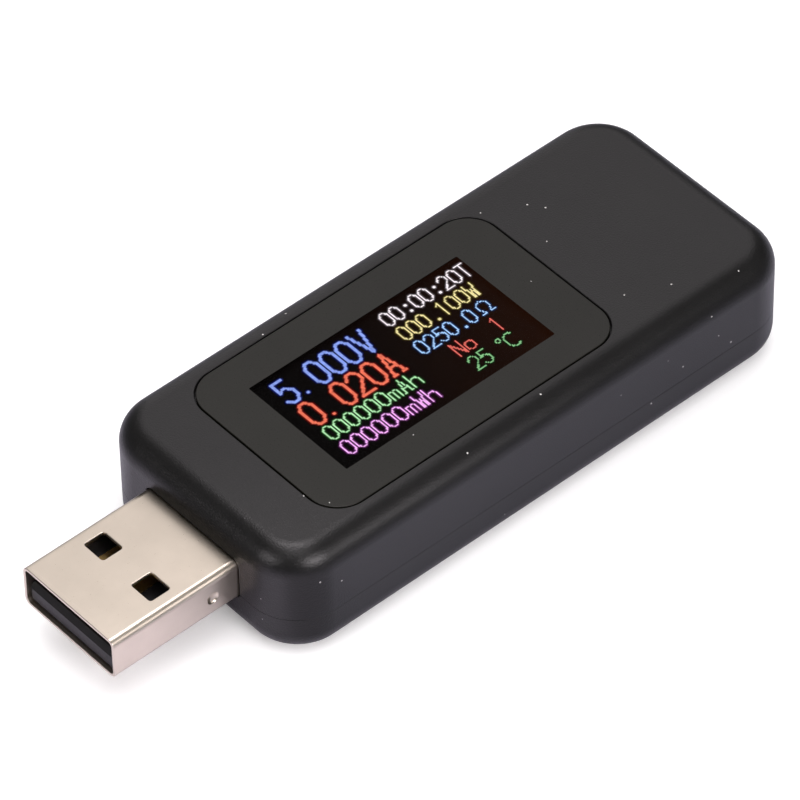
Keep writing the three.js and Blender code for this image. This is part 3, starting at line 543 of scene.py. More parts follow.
def display_glow():
    """The display's black, which leaks a little red-brown light towards the socket's end."""
    low, high = box_mm("front_polariser")
    recipe = Recipe("display_glow")
    parts = recipe.node("SeparateXYZ", {"Vector": recipe.place()})
    along = recipe.span(parts.outputs[0], 0, 1, low.x, high.x)
    down = recipe.span(parts.outputs[1], 1, 0, low.y, high.y)
    cloud = recipe.span(recipe.noise(6.0, 3.0), 0.7, 1.2)
    leak = recipe.maths("MULTIPLY", recipe.maths("MULTIPLY", along, along), cloud)
    slant = recipe.maths("MULTIPLY", leak, recipe.span(down, 0.55, 1.0, 0, 1))
    glow = recipe.mix(slant, (0.0006, 0.0003, 0.0002, 1), (0.016, 0.004, 0.001, 1))
    recipe.set(
        Base_Color=grey(0.001),
        Roughness=0.4,
        Specular_IOR_Level=0.0,
        Emission_Color=glow,
        Emission_Strength=1.0,
    )
    return recipe.material


def readout_light(name, colour, strength):
    """Lit dots: a colour that is a little uneven from dot to dot."""
    recipe = Recipe(name)
    flicker = recipe.noise(0.35, 2.0, 0.7)
    dim = tuple(channel * 0.72 for channel in colour) + (1.0,)
    full = tuple(channel * 1.08 for channel in colour) + (1.0,)
    recipe.set(
        Base_Color=grey(0.002),
        Roughness=0.5,
        Specular_IOR_Level=0.0,
        Emission_Color=recipe.mix(recipe.span(flicker, 0, 1), dim, full),
        Emission_Strength=strength,
    )
    return recipe.material


def plated_steel():
    """Nickel-plated sheet steel: warm and satin, with a fine rolled grain."""
    recipe = Recipe("plated_steel")
    cloud = recipe.noise(3.0, 3.0)
    grain = recipe.noise(0.10, 2.0, 0.6)
    rolled = recipe.noise(0.12, 3.0, 0.6, recipe.stretched(0.18, 1.0, 1.0))
    tint = recipe.mix(
        recipe.span(cloud, 0, 1), (0.653, 0.588, 0.488, 1), (0.703, 0.633, 0.527, 1)
    )
    texture = recipe.maths("ADD", recipe.maths("MULTIPLY", grain, 0.6), rolled)
    recipe.set(
        Base_Color=tint,
        Metallic=1.0,
        Roughness=recipe.span(texture, 0.27, 0.33, 0.5, 1.1),
    )
    recipe.bump(texture, 0.0005)
    return recipe.material


def gold_plate():
    recipe = Recipe("gold_plate")
    grain = recipe.noise(0.3, 3.0)
    recipe.set(
        Base_Color=recipe.mix(grain, (0.78, 0.52, 0.19, 1), (0.92, 0.66, 0.28, 1)),
        Metallic=1.0,
        Roughness=recipe.span(grain, 0.3, 0.42),
    )
    return recipe.material


def plain_finish(name, dark, light, roughness, size=0.6, metallic=0.0, depth=0.002):
    """A finish that varies softly between two colours, for the pieces inside the case."""
    recipe = Recipe(name)
    grain = recipe.noise(size, 3.0)
    recipe.set(
        Base_Color=recipe.mix(recipe.span(grain, 0, 1), dark, light),
        Metallic=metallic,
        Roughness=recipe.span(grain, roughness - 0.05, roughness + 0.05),
    )
    recipe.bump(grain, depth)
    return recipe.material


def circuit_laminate():
    """Green solder mask over copper tracks, which show as paler lines."""
    recipe = Recipe("board_laminate")
    tracks = recipe.node(
        "TexBrick",
        {"Vector": recipe.place(), "Scale": 0.5, "Mortar Size": 0.06, "Mortar Smooth": 0.2},
    )
    mask = recipe.mix(tracks.outputs["Fac"], (0.012, 0.11, 0.045, 1), (0.03, 0.2, 0.08, 1))
    recipe.set(Base_Color=mask, Roughness=0.35)
    recipe.bump(tracks.outputs["Fac"], 0.02)
    return recipe.material


def inner_finishes():
    """A finish for each material slot that only pieces inside the case use, and for the nylon."""
    return {
        "adhesive_tape": plain_finish("adhesive_tape", grey(0.006), grey(0.012), 0.8),
        "polariser_film": plain_finish("polariser_film", grey(0.004), grey(0.007), 0.25),
        "lcd_glass": plain_finish("lcd_glass", grey(0.01, -0.1), grey(0.016, -0.1), 0.1, 3.0),
        "white_plastic": plain_finish("white_plastic", grey(0.72, 0.02), grey(0.8), 0.45),
        "clear_acrylic": plain_finish("clear_acrylic", grey(0.7, -0.02), grey(0.8), 0.12, 2.0),
        "flex_film": plain_finish("flex_film", (0.3, 0.12, 0.02, 1), (0.42, 0.18, 0.03, 1), 0.3),
        "foam": plain_finish("foam", grey(0.015), grey(0.035), 0.95, 0.25, depth=0.05),
        "board_laminate": circuit_laminate(),
        "chip_epoxy": plain_finish("chip_epoxy", grey(0.009), grey(0.015), 0.55, 0.2),
        "ceramic_chip": plain_finish(
            "ceramic_chip", (0.22, 0.15, 0.08, 1), (0.3, 0.2, 0.11, 1), 0.5
        ),
        "tinned_metal": plain_finish(
            "tinned_metal", grey(0.5), grey(0.62), 0.35, metallic=1.0
        ),
        "black_nylon": plain_finish(
            "black_nylon", (0.006, 0.005, 0.006, 1), (0.010, 0.009, 0.010, 1), 0.5, 0.3
        ),
    }


# ---- Case ----


def middle(low, high, axes):
    """The middle of a box, and its size, along two axes."""
    centre = [(low[i] + high[i]) / 2 for i in axes]
    size = [high[i] - low[i] for i in axes]
    return centre, size


def grown(size, amount):
    return [length + 2 * amount for length in size]


def case_openings():
    """Tools for the plug's and the socket's openings in the end walls."""
    case_low, case_high = box_mm("upper_shell")
    tools = []
    for node, corner, wall_x, out in (
        ("plug_shell", PLUG_CORNER, case_low.x, -1),
        ("socket_shell", SOCKET_CORNER + SOCKET_LIP, case_high.x, 1),
    ):
        centre, size = middle(*box_mm(node), (1, 2))
        profile = flared(0, wall_x - out * (WALL + OVERSHOOT), wall_x, EDGE_ROUND)
        size = grown(size, FIT_GAP)
        tools.append(sweep("opening", "X", centre, size, corner + FIT_GAP, profile))
    return tools


def key_opening():
    wall_y = box_mm("lower_shell")[1].y
    centre, size = middle(*box_mm("side_key"), (2, 0))
    size = grown(size, KEY_GAP - KEY_FLANGE)
    profile = flared(0, wall_y - WALL - OVERSHOOT, wall_y, EDGE_ROUND)
    return sweep("key_opening", "Y", centre, size, KEY_CORNER + KEY_GAP, profile)


def at_posts(radius, low, high):
    places = [(x, y) for x in POST_X for y in (-POST_Y, POST_Y)]
    return [rod("post", place, radius, low, high) for place in places]


def ribs(plug_z, socket_z):
    """Ribs that hold the plug's and the socket's shells, each between two heights."""
    across = (-RIB_WIDTH / 2, RIB_WIDTH / 2)
    places = [(PLUG_RIB_X, plug_z)] + [(x, socket_z) for x in SOCKET_RIB_X]
    half = RIB_THICKNESS / 2
    return [block("rib", (x - half, x + half), across, z) for x, z in places]


def window_recess(face_z):
    window_low, window_high = box_mm("screen_window")
    centre, size = middle(window_low, window_high, (0, 1))
    profile = flared(-WINDOW_GAP, window_low.z - TAPE_SPACE, face_z, EDGE_ROUND)
    return sweep("recess", "Z", centre, size, WINDOW_CORNER, profile)


def display_space(ceiling):
    """Tools for the opening that the display's glass stands in and the hollow round its frame."""
    glass_low, glass_high = box_mm("array_glass")
    frame_low, frame_high = box_mm("backlight_frame")
    floor = box_mm("screen_window")[0].z - TAPE_SPACE
    edge = DISPLAY_MARGIN
    glass = block(
        "glass_space",
        (glass_low.x - edge, glass_high.x + edge),
        (glass_low.y - edge, glass_high.y + edge),
        (ceiling - OVERSHOOT, floor + edge),
    )
    frame = block(
        "frame_space",
        (frame_low.x - FLEX_SPACE, frame_high.x + edge),
        (frame_low.y - edge, frame_high.y + edge),
        (ceiling - WALL, glass_high.z + FIT_GAP),
    )
    return [glass, frame]


def upper_case():
    low, high = box_mm("upper_shell")
    centre, size = middle(low, high, (0, 1))
    seam = low.z + SEAM_GAP / 2
    lip_top = low.z + LIP_HEIGHT + FIT_GAP
    lip_inset = WALL - LIP_THICKNESS - FIT_GAP
    ceiling = high.z - WALL
    cavity_centre = (WALL + CAVITY_FILLET, ceiling - CAVITY_FILLET)
    profile = bend(cavity_centre, CAVITY_FILLET, 90, 180, SMALL_STEPS)
    profile += [(WALL, lip_top), (lip_inset, lip_top), (lip_inset, seam)]
    profile += bend((RIM_ROUND, seam + RIM_ROUND), RIM_ROUND, 270, 180, SMALL_STEPS)
    profile += bend((TOP_FILLET, high.z - TOP_FILLET), TOP_FILLET, 180, 90, FILLET_STEPS)
    shell = sweep("upper_case", "Z", centre, size, CASE_CORNER, profile)

    board_top = box_mm("circuit_board")[1].z
    plug_top = box_mm("plug_shell")[1].z + RIB_GAP
    socket_top = box_mm("socket_shell")[1].z - SOCKET_LIP + RIB_GAP
    anchored = ceiling + ANCHOR_DEPTH
    pegs = at_posts(POST_RADIUS, board_top + FIT_GAP, anchored)
    join(shell, pegs + ribs((plug_top, anchored), (socket_top, anchored)))

    pin_top = box_mm("lower_shell")[1].z
    bores = at_posts(PIN_HOLE_RADIUS, board_top, pin_top + FIT_GAP)
    tools = [window_recess(high.z), key_opening()] + display_space(ceiling)
    cut(shell, tools + bores + case_openings())
    return smooth(shell)


def lower_case():
    low, high = box_mm("lower_shell")
    centre, size = middle(low, high, (0, 1))
    rim_z = box_mm("upper_shell")[0].z
    seam = rim_z - SEAM_GAP / 2
    lip_top = rim_z + LIP_HEIGHT
    lip_inset = WALL - LIP_THICKNESS
    inner = WALL + FIT_GAP
    profile = bend((BOTTOM_FILLET, BOTTOM_FILLET), BOTTOM_FILLET, 270, 180, FILLET_STEPS)
    profile += bend((RIM_ROUND, seam - RIM_ROUND), RIM_ROUND, 180, 90, SMALL_STEPS)
    profile += [(lip_inset, seam), (lip_inset, lip_top - FIT_GAP)]
    profile += [(lip_inset + FIT_GAP, lip_top), (inner, lip_top)]
    cavity_centre = (inner + CAVITY_FILLET, WALL + CAVITY_FILLET)
    profile += bend(cavity_centre, CAVITY_FILLET, 180, 270, SMALL_STEPS)
    shell = sweep("lower_case", "Z", centre, size, CASE_CORNER, profile)

    board_bottom = box_mm("circuit_board")[0].z
    plug_bottom = box_mm("plug_shell")[0].z - RIB_GAP
    socket_bottom = box_mm("socket_shell")[0].z + SOCKET_LIP - RIB_GAP
    anchored = WALL - ANCHOR_DEPTH
    posts = at_posts(POST_RADIUS, anchored, board_bottom - FIT_GAP)
    pins = at_posts(PIN_RADIUS, anchored, high.z)
    join(shell, posts + pins + ribs((anchored, plug_bottom), (anchored, socket_bottom)))
    cut(shell, case_openings())
    return smooth(shell)


# ---- Window ----


def window_pane():
    """The pane with its clear part as separate faces, above and below."""
    low, high = box_mm("screen_window")
    centre, size = middle(low, high, (0, 1))

    def outline(inset, z):
        loop = rounded_loop(*grown(size, -inset), WINDOW_CORNER - inset, CORNER_STEPS)
        return [(centre[0] + x, centre[1] + y, z) for x, y in loop]

    def view(margin, z):
        loop = rounded_loop(
            VIEW_LENGTH + 2 * margin, VIEW_WIDTH + 2 * margin, VIEW_CORNER, CORNER_STEPS
        )
        return [(VIEW_CENTRE[0] + x, VIEW_CENTRE[1] + y, z) for x, y in loop]

    edge = bend((WINDOW_EDGE, high.z - WINDOW_EDGE), WINDOW_EDGE, 180, 90, SMALL_STEPS)
    rings = [view(PRINT_MARGIN, low.z), outline(0, low.z)]
    rings += [outline(inset, z) for inset, z in edge]
    rings.append(view(0, high.z))
    pane = smooth(loft("window_pane", rings))
    paint(pane, window_print(), window_clear())
    for face in pane.data.polygons:  # the two clear faces have far more than four sides
        face.material_index = 1 if face.loop_total > 4 else 0
    return pane


# ---- Display ----


def oval(centre_x, centre_y, radius_x, radius_y, start=0, end=360):
    """A stroke along part of an oval, as points in a glyph's unit square."""
    steps = 20
    angles = [math.radians(start + (end - start) * i / steps) for i in range(steps + 1)]
    return [
        (centre_x + radius_x * math.cos(a), centre_y + radius_y * math.sin(a)) for a in angles
    ]


def pointed_ring(top):
    """A tall ring with cut corners, as high as top."""
    shoulder = 0.2 * top
    points = [(0.35, top), (0.65, top), (1, top - shoulder), (1, shoulder)]
    points += [(0.65, 0), (0.35, 0), (0, shoulder), (0, top - shoulder), (0.35, top)]
    return points


# The strokes of each character, in a unit square with (0, 0) at its lower left.
GLYPHS = {
    "0": [pointed_ring(1)],
    "1": [[(0.2, 0.84), (0.55, 1), (0.55, 0)]],
    "2": [[(0, 0.78), (0.3, 1), (0.7, 1), (1, 0.82), (1, 0.62), (0, 0), (1, 0)]],
    "5": [
        [(0.95, 1), (0.1, 1), (0.08, 0.56), (0.4, 0.64), (0.7, 0.62), (1, 0.44)],
        [(1, 0.44), (1, 0.2), (0.65, 0), (0.3, 0), (0, 0.16)],
    ],
    "V": [[(0, 1), (0.5, 0), (1, 1)]],
    "A": [
        [(0.05, 0), (0.5, 1), (0.95, 0)],
        [(0.22, 0.33), (0.78, 0.33)],
        [(0, 0), (0.2, 0)],
        [(0.8, 0), (1, 0)],
    ],
    "W": [[(0, 1), (0.25, 0), (0.5, 0.62), (0.75, 0), (1, 1)]],
    "m": [
        [(0, 0), (0, 0.6)],
        [(0, 0.5), (0.25, 0.6), (0.5, 0.5), (0.5, 0)],
        [(0.5, 0.5), (0.75, 0.6), (1, 0.5), (1, 0)],
    ],
    "h": [[(0, 0), (0, 1)], [(0, 0.45), (0.35, 0.6), (0.75, 0.6), (1, 0.42), (1, 0)]],
    "T": [[(0, 1), (1, 1)], [(0.5, 1), (0.5, 0)]],
    "N": [[(0, 0), (0, 1), (1, 0), (1, 1)]],
    "o": [pointed_ring(0.6)],
    "Ω": [
        oval(0.5, 0.6, 0.31, 0.36, -52, 232),
        [(0.69, 0.3), (0.66, 0.06), (0.86, 0.06)],
        [(0.31, 0.3), (0.34, 0.06), (0.14, 0.06)],
    ],
    "℃": [oval(0.12, 0.88, 0.11, 0.12), oval(0.66, 0.5, 0.33, 0.5, 52, 308)],
}
WIDE = "Ω℃"  # these take two character cells
STOPS = {".": [0.06], ":": [0.14, 0.64]}  # the heights of a mark's square dots
STOP_X = {"large": 0.24, "small": 0.58}
STOP_RADIUS = {"large": 1.2, "small": 0.8}


def stroke_distance(point, start, end):
    along = end - start
    if along.length == 0:
        return (point - start).length
    share = max(0, min(1, (point - start).dot(along) / along.length_squared))
    return (point - start - along * share).length


def glyph_dots(character, size):
    """The lit (column, row) dots of a character, counted from its cell's upper left."""
    columns, rows = GLYPH_DOTS[size]
    if character in WIDE:
        columns += LETTER_DOTS[size][0]
    margin = (PEN[size] - 1) / 2
    reach = Vector((columns - 1 - 2 * margin, rows - 1 - 2 * margin))

    def to_dots(x, y):
        return Vector((margin + x * reach.x, margin + (1 - y) * reach.y))

    lit = set()
    for column in range(columns):
        for row in range(rows):
            dot = Vector((column, row))
            for stroke in GLYPHS.get(character, []):
                line = [to_dots(*point) for point in stroke]
                near = min(stroke_distance(dot, a, b) for a, b in zip(line, line[1:]))
                if near <= PEN[size] / 2:
                    lit.add((column, row + GLYPH_TOP))
            for height in STOPS.get(character, []):
                offset = dot - to_dots(STOP_X[size], height)
                if max(abs(offset.x), abs(offset.y)) <= STOP_RADIUS[size]:
                    lit.add((column, row + GLYPH_TOP))
    return lit


def text_dots(text, size):
    lit = set()
    column = 0
    for character in text:
        lit |= {(column + x, y) for x, y in glyph_dots(character, size)}
        column += LETTER_DOTS[size][0] * (2 if character in WIDE else 1)
    return lit


def spread(lit):
    """The unlit dots beside lit ones, which take a little of their light."""
    steps = [(1, 0), (-1, 0), (0, 1), (0, -1)]
    return {(x + dx, y + dy) for x, y in lit for dx, dy in steps} - lit


def dot_bars(dots, start, dot, z):
    """Corners of thin bars over each unbroken run of dots, eight to a bar."""
    corners = []
    for column, line in sorted(dots, key=lambda place: (place[1], place[0])):
        if (column - 1, line) in dots:
            continue
        length = 1
        while (column + length, line) in dots:
            length += 1
        x0 = start[0] + (column + DOT_GAP) * dot[0]
        x1 = start[0] + (column + length - DOT_GAP) * dot[0]
        y0 = start[1] - (line + 1 - DOT_GAP) * dot[1]
        y1 = start[1] - (line + DOT_GAP) * dot[1]
        for level in z:
            corners += [(x0, y0, level), (x1, y0, level), (x1, y1, level), (x0, y1, level)]
    return corners


def readout(name, text, size, start, dot, face_z):
    """One line of figures on the display's face, with a dim fringe round them."""
    lit = text_dots(text, size)
    z = (face_z + READOUT_LIFT, face_z + READOUT_LIFT + READOUT_HEIGHT)
    bright = dot_bars(lit, start, dot, z)
    points = bright + dot_bars(spread(lit), start, dot, z)
    box = [(3, 2, 1, 0), (4, 5, 6, 7)]
    box += [(i, (i + 1) % 4, (i + 1) % 4 + 4, i + 4) for i in range(4)]
    faces = [tuple(first + i for i in face) for first in range(0, len(points), 8) for face in box]
    return make_piece(name, points, faces), len(bright)


def add_readouts():
    face_z = box_mm("front_polariser")[1].z
    watts, ohms = VOLTS * AMPS, VOLTS / AMPS
    blue, red = (0.30, 0.42, 1.0), (1.0, 0.20, 0.115)
    green, pink = (0.43, 0.80, 0.43), (0.90, 0.44, 0.92)
    white, yellow = (0.93, 0.86, 0.90), (0.86, 0.76, 0.36)
    sky, ruby, leaf = (0.36, 0.58, 0.92), (0.72, 0.14, 0.11), (0.22, 0.50, 0.22)
    left = [
        ("volts", f"{VOLTS:.3f}V", "large", blue),
        ("amps", f"{AMPS:.3f}A", "large", red),
        ("charge", "000000mAh", "small", green),
        ("energy", "000000mWh", "small", pink),
    ]
    right = [
        ("time", f"00:00:{SECONDS:02d}T", "small", white),
        ("watts", f"{watts:07.3f}W", "small", yellow),
        ("ohms", f"{ohms:06.1f}Ω", "small", sky),
        ("group", "  No  1", "small", ruby),
        ("warmth", f"  {CELSIUS} ℃", "small", leaf),
    ]
    for lines, (x, y), dot in ((left, LEFT_START, LEFT_DOT), (right, RIGHT_START, RIGHT_DOT)):
        for name, text, size, colour in lines:
            piece, bright = readout("readout_" + name, text, size, (x, y), dot, face_z)
            fringe = tuple(FRINGE_LIGHT * channel**FRINGE_DEPTH for channel in colour)
            dots_light = readout_light(name + "_dots", colour, DOT_LIGHT[size])
            paint(piece, dots_light, readout_light(name + "_fringe", fringe, 1.0))
            for face in piece.data.polygons:
                face.material_index = 0 if min(face.vertices) < bright else 1
            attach(piece, "meter")
            y -= LETTER_DOTS[size][1] * dot[1]


# ---- Plug ----


def spaced(start, end, step):
    """Levels from start to end, not more than step apart."""
    count = max(1, math.ceil(abs(end - start) / step))
    return [start + (end - start) * i / count for i in range(count + 1)]


def folded_tube(name, centre, size, tip, rear, levels):
    """The plug's steel tube along x, with a round-edged tip. levels are the places of its rings."""
    edge = PLUG_TIP_ROUND
    profile = bend((edge, tip + edge), edge, 270, 180, SMALL_STEPS)
    profile += [(0, x) for x in levels] + [(0, rear), (SHEET, rear)]
    profile += [(SHEET, x) for x in reversed(levels)]
    profile += bend((SHEET - edge, tip + edge), edge, 0, -90, SMALL_STEPS)
    sides = (1, SIDE_STEPS)
    return sweep(name, "X", centre, size, PLUG_CORNER, profile, True, ROUND_STEPS, sides)


def side_tabs(centre, width, x_range):
    """The two tabs that are soldered through the board."""
    z = [centre[1] + height for height in TAB_Z]
    tabs = []
    for side in (-1, 1):
        outer = side * width / 2
        inner = outer - side * SHEET
        tabs.append(block("tab", x_range, sorted((inner, outer)), z))
    return tabs


def press_dimples(piece, place, wall_y):
    """Presses a round pit into the outer face of both side walls of the shell."""
    centre = Vector(place)
    for vertex in piece.data.vertices:
        point = vertex.co / MM
        if abs(point.y) < wall_y:
            continue
        share = (Vector((point.x, point.z)) - centre).length / DIMPLE_RADIUS
        pit = math.sqrt(max(0, 1 - share * share))
        vertex.co.y -= math.copysign(pit * DIMPLE_DEPTH * MM, point.y)


def plug_holes(centre, tip, top, bottom):
    """Tools for the square holes, flared at both outer faces."""
    x = tip + PLUG_HOLE_START + PLUG_HOLE_LENGTH / 2
    size = (PLUG_HOLE_LENGTH, PLUG_HOLE_WIDTH)
    tools = []
    for side in (-1, 1):
        place = (x, centre[0] + side * PLUG_HOLE_Y)
        for face in (top, bottom):
            profile = flared(0, centre[1], face, PLUG_HOLE_ROUND)
            hole = sweep("hole", "Z", place, size, PLUG_HOLE_CORNER, profile, steps=ROUND_STEPS)
            tools.append(hole)
    return tools


def fold_seam(tip, rear, bottom):
    """A tool for the dovetailed line where the folded sheet meets itself, underneath."""
    mid = (tip + rear) / 2
    neck, end = DOVETAIL, DOVETAIL * DOVETAIL_SPREAD
    path = [(tip - OVERSHOOT, 0), (mid - neck, 0), (mid - end, DOVETAIL), (mid + end, DOVETAIL)]
    path += [(mid + neck, 0), (rear + OVERSHOOT, 0)]
    across = (bottom - OVERSHOOT, bottom + SHEET / 2)
    return ribbon("seam", "Z", path, FOLD_GAP, across)


def plug_tube():
    low, high = box_mm("plug_shell")
    centre, size = middle(low, high, (1, 2))
    wall_x = box_mm("upper_shell")[0].x
    rear = wall_x + PLUG_REAR
    dimple = (wall_x + DIMPLE_X, centre[1] + DIMPLE_Z)
    reach = DIMPLE_REACH * DIMPLE_RADIUS
    start = low.x + 2 * PLUG_TIP_ROUND
    levels = [start] + spaced(dimple[0] - reach, dimple[0] + reach, DIMPLE_STEP) + [wall_x]
    shell = folded_tube("plug_steel", centre, size, low.x, rear, levels)
    press_dimples(shell, dimple, size[0] / 2 - TINY)
    join(shell, side_tabs(centre, size[0], (rear - SHEET, high.x)))
    cut(shell, plug_holes(centre, low.x, high.z, low.z))
    cut(shell, [fold_seam(low.x, rear, low.z)])
    return smooth(shell)


def plug_tongue():
    """The plug's insulator: a tongue with its contacts let into the top, and a block behind it."""
    low, high = box_mm("plug_insulator")
    centre, size = middle(low, high, (1, 2))
    edge = TONGUE_EDGE
    nose = bend((edge, low.x + edge), edge, 270, 180, SMALL_STEPS)
    corner = PLUG_CORNER - SHEET
    profile = nose + [(0, high.x)]
    tongue = sweep("plug_tongue", "X", centre, size, corner, profile, steps=ROUND_STEPS)

    mid_z = centre[1]
    block_x = box_mm("upper_shell")[0].x + TONGUE_BLOCK_X
    beyond = (low.y - OVERSHOOT, high.y + OVERSHOOT)
    slope = Vector(TONGUE_BEVEL).normalized()
    foot = Vector((low.x, mid_z - TONGUE_BEVEL[1]))
    foot += Vector((-slope.y, slope.x)) * OVERSHOOT / 2
    ends = (foot - slope * OVERSHOOT, foot + 2 * slope * OVERSHOOT)
    bevel = ribbon("bevel", "Y", [(end.y, end.x) for end in ends], OVERSHOOT, beyond)
    space = block("space", (low.x - OVERSHOOT, block_x), beyond, (mid_z, high.z + OVERSHOOT))
    slots = []
    for index in range(1, 5):
        strip_low, strip_high = box_mm(f"plug_contact_{index}")
        gap = CONTACT_CLEARANCE
        x = (strip_low.x - gap, strip_high.x + OVERSHOOT)
        y = (strip_low.y - gap, strip_high.y + gap)
        slots.append(block("slot", x, y, (strip_low.z - gap, strip_high.z + gap)))
    cut(tongue, [space])
    cut(tongue, [bevel])
    cut(tongue, slots)
    return smooth(tongue)


# ---- Socket ----


def socket_leaves(centre, size, mouth):
    """The sprung leaves, two above and two below, and the tools for the windows they stand in."""
    rear, front = (mouth + x for x in LEAF_X)
    leaves, windows = [], []
    for up in (-1, 1):
        sheet_z = centre[1] + up * (size[1] - SHEET) / 2
        pressed = sheet_z - up * LEAF_PRESS
        path = [(rear - SHEET, sheet_z), (rear + SHEET, sheet_z), (front - 5 * SHEET, pressed)]
        path += [(front - 3 * SHEET, pressed), (front - SHEET, pressed + up * LEAF_PRESS / 2)]
        path = [(z, x) for x, z in path]
        for y in (-LEAF_Y, LEAF_Y):
            across = (y - LEAF_WIDTH / 2, y + LEAF_WIDTH / 2)
            leaves.append(ribbon("leaf", "Y", path, LEAF_THICKNESS, across))
            gap = LEAF_WIDTH / 2 + LEAF_GAP
            z = (sheet_z - SHEET, sheet_z + SHEET)
            windows.append(block("leaf_window", (rear, front), (y - gap, y + gap), z))
    return leaves, windows


def socket_tube():
    low, high = box_mm("socket_shell")
    centre, lip_size = middle(low, high, (1, 2))
    size = grown(lip_size, -SOCKET_LIP)
    mouth = high.x
    wall_x = box_mm("upper_shell")[1].x
    rear = wall_x + SOCKET_REAR
    turn = SHEET * 2 / 3
    bend_x = mouth - turn - SHEET
    profile = [(0, rear), (0, bend_x)]
    profile += bend((-turn, bend_x), turn, 0, 90, SMALL_STEPS)
    lip, edge = -SOCKET_LIP, SOCKET_LIP_EDGE
    profile += [(lip + edge, bend_x + turn), (lip, bend_x + turn + edge)]
    profile += [(lip, mouth - edge), (lip + edge, mouth)]
    profile += bend((-turn, bend_x), turn + SHEET, 90, 0, SMALL_STEPS)
    profile += [(SHEET, rear)]
    shell = sweep("socket_steel", "X", centre, size, SOCKET_CORNER, profile, True, ROUND_STEPS)
    leaves, windows = socket_leaves(centre, size, wall_x)
    join(shell, side_tabs(centre, size[0], (low.x, rear + SHEET)))
    cut(shell, windows)
    join(shell, leaves)
    return smooth(shell)


# ---- Key ----


def key_cap():
    low, high = box_mm("side_key")
    centre, size = middle(low, high, (2, 0))
    flange_y = low.y + KEY_FLANGE
    edge_y = high.y - KEY_CROWN
    profile = [(0, low.y), (0, flange_y - TINY), (TINY, flange_y), (KEY_FLANGE, flange_y)]
    edge = bend((KEY_FLANGE + KEY_EDGE, edge_y - KEY_EDGE), KEY_EDGE, 180, 90, SMALL_STEPS)
    insets = [KEY_FLANGE + KEY_EDGE + inset for inset in KEY_CROWN_INSETS]
    crown = [(insets[0], high.y - KEY_CROWN / 4), (insets[1], high.y)]
    corner = KEY_CORNER + KEY_FLANGE
    return smooth(sweep("key_cap", "Y", centre, size, corner, profile + edge + crown))


# ---- Studio ----


def from_angles(azimuth, elevation):
    a, e = math.radians(azimuth), math.radians(elevation)
    return Vector((math.sin(a) * math.cos(e), -math.cos(a) * math.cos(e), math.sin(e)))


def add_camera():
    back = from_angles(CAMERA_AZIMUTH, CAMERA_ELEVATION)
    lens = bpy.data.cameras.new("camera")
    lens.lens = CAMERA_LENS
    lens.clip_start = 0.01
    camera = bpy.data.objects.new("camera", lens)
    bpy.context.scene.collection.objects.link(camera)
    roll = Matrix.Rotation(math.radians(CAMERA_ROLL), 3, "Z")
    turn = (-back).to_track_quat("-Z", "Y").to_matrix() @ roll
    place = (Vector(CAMERA_AIM) + back * CAMERA_DISTANCE) * MM
    camera.matrix_world = Matrix.LocRotScale(place, turn.to_quaternion(), None)
    bpy.context.scene.camera = camera


def add_softbox(name, azimuth, elevation, distance, size, radiance, aim=(0, 0, 0), glossy=True):
    """A square lamp that faces a place. radiance is how bright its face is."""
    lamp = bpy.data.lights.new(name, "AREA")
    lamp.size = size * MM
    if glossy:
        lamp.color = LAMP_TINT
    lamp.energy = radiance * 4 * lamp.size**2
    out = from_angles(azimuth, elevation)
    holder = bpy.data.objects.new(name, lamp)
    bpy.context.scene.collection.objects.link(holder)
    turn = out.to_track_quat("Z", "Y")
    holder.matrix_world = Matrix.LocRotScale((Vector(aim) + out * distance) * MM, turn, None)
    holder.visible_glossy = glossy
    holder.visible_camera = False


def seen_by_camera(tree, dark, bright):
    """A value that is bright to the camera and dark to every other ray."""
    path = tree.nodes.new("ShaderNodeLightPath")
    seen = tree.nodes.new("ShaderNodeMapRange")
    seen.inputs["To Min"].default_value = dark
    seen.inputs["To Max"].default_value = bright
    tree.links.new(path.outputs["Is Camera Ray"], seen.inputs["Value"])
    return seen.outputs[0]


def oval_distance(recipe, centre, radii):
    """How far a place on the floor is from a centre, as a share of an oval's radii."""
    scale = (1 / radii[0], 1 / radii[1], 0)
    offset = (-centre[0] / radii[0], -centre[1] / radii[1], 0)
    inputs = {0: recipe.place(), 1: scale, 2: offset}
    scaled = recipe.node("VectorMath", inputs, operation="MULTIPLY_ADD")
    length = recipe.node("VectorMath", {0: scaled.outputs[0]}, operation="LENGTH")
    return length.outputs["Value"]


def add_floor():
    """White paper. The object sees painted light on it: bluer, brighter by the plug, and with painted
    shade far off and by the case's near corner.
    """
    points = rounded_loop(FLOOR_SIZE, FLOOR_SIZE, TINY, 1)
    floor = make_piece("floor", [(x, y, 0) for x, y in points], [tuple(range(len(points)))])
    recipe = Recipe("floor_paper")
    seen = seen_by_camera(recipe.tree, 0.0, 1.0)
    along = recipe.node("SeparateXYZ", {"Vector": recipe.place()}).outputs[0]
    away = oval_distance(recipe, (0, 0), LIT_RADII)
    # painted light: the floor's colours as the object sees them, bluish, brighter by the plug than by
    # the case, and dim far off
    by_case, by_plug, far = (0.52, 0.51, 0.59, 1), (0.69, 0.65, 0.75, 1), (0.2, 0.2, 0.23, 1)
    near = recipe.mix(recipe.span(along, 1, 0, *PLUG_FLOOR_X), by_case, by_plug)
    shade = recipe.span(oval_distance(recipe, SHADE_CENTRE, SHADE_RADII), SHADE, 0, *SHADE_EDGE)
    shaded = recipe.mix(shade, near, grey(0.0))
    lit = recipe.mix(recipe.span(away, 0, 1, 1.0, DIM_FLOOR), shaded, far)
    paper = recipe.mix(recipe.noise(400.0), grey(0.86), grey(0.88))
    recipe.set(
        Base_Color=recipe.mix(seen, lit, paper),
        Roughness=0.9,
        Specular_IOR_Level=0.1,
        Emission_Color=grey(1.0),
        Emission_Strength=recipe.maths("MULTIPLY", seen, FLOOR_LIFT),
    )
    paint(floor, recipe.material)


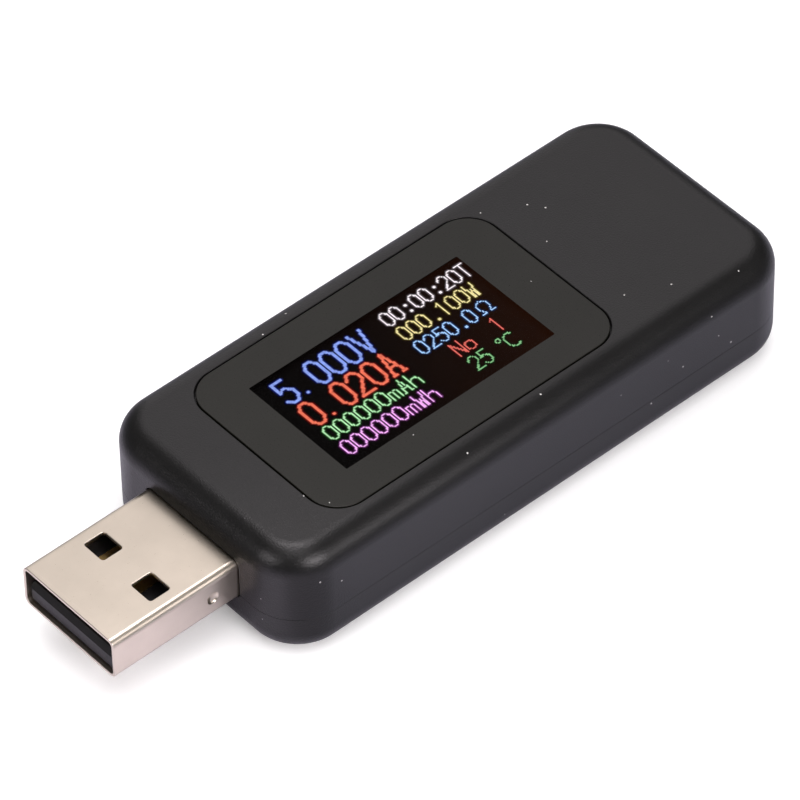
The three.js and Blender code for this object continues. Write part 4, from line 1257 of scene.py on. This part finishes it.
def add_world():
    """Pale to the camera, and dimmer to everything else."""
    world = bpy.data.worlds.new("studio")
    bpy.context.scene.world = world
    world.use_nodes = True
    background = world.node_tree.nodes["Background"]
    background.inputs["Color"].default_value = grey(1.0)
    strength = seen_by_camera(world.node_tree, 0.1, 1.0)
    world.node_tree.links.new(strength, background.inputs["Strength"])


def add_studio():
    add_camera()
    add_floor()
    add_world()
    add_softbox("back_softbox", 139.5, 46.0, 700.0, 620.0, 0.7)
    add_softbox("rim_softbox", 155.0, 11.0, 700.0, 240.0, 0.6)
    add_softbox("side_softbox", 42.0, 38.0, 700.0, 700.0, 0.1)
    add_softbox("floor_wash", 0.0, 89.0, 900.0, 1200.0, 1.5, glossy=False)
    add_softbox("front_lamp", -3.0, 30.0, 300.0, 150.0, 5.6, NEAR_CORNER)
    add_softbox("left_lamp", -96.0, 27.0, 300.0, 140.0, 2.8, NEAR_CORNER)
    add_softbox("top_lamp", 145.0, 76.0, 60.0, 24.0, 5.2, NEAR_CORNER)
    add_softbox("fill_lamp", -40.0, 73.0, 70.0, 36.0, 1.2, NEAR_CORNER)
    add_softbox("corner_lamp", 29.0, 18.0, 70.0, 24.0, 1.8, NEAR_CORNER)
    bpy.context.scene.view_settings.view_transform = "Standard"


# ---- The meter ----


def add_pieces(finishes):
    """The pieces that stand for CAD nodes: builder, material slot, node and body."""
    for build, slot, node, body in (
        (upper_case, "case_plastic", "upper_shell", "meter"),
        (lower_case, "case_plastic", "lower_shell", "meter"),
        (window_pane, "window_acrylic", "screen_window", "meter"),
        (plug_tube, "plated_steel", "plug_shell", "meter"),
        (plug_tongue, "black_nylon", "plug_insulator", "meter"),
        (socket_tube, "plated_steel", "socket_shell", "meter"),
        (key_cap, "key_plastic", "side_key", "key"),
    ):
        piece = build()
        if not piece.data.materials:
            paint(piece, finishes[slot])
        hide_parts(node)
        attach(piece, body)


def finish_nodes(record, nodes, finishes):
    """Paints the CAD nodes that are still shown."""
    for subpart in record["subparts"]:
        node = nodes[subpart["node"]]
        if not node.hide_render:
            paint(node, finishes[subpart["material_slot"]])
    paint(nodes["front_polariser"], display_glow())


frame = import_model()

finishes = inner_finishes()
finishes["case_plastic"] = case_plastic()
finishes["key_plastic"] = key_plastic()
finishes["plated_steel"] = plated_steel()
finishes["gold_plate"] = gold_plate()

add_pieces(finishes)
add_readouts()
finish_nodes(frame["record"], frame["nodes"], finishes)
add_studio()
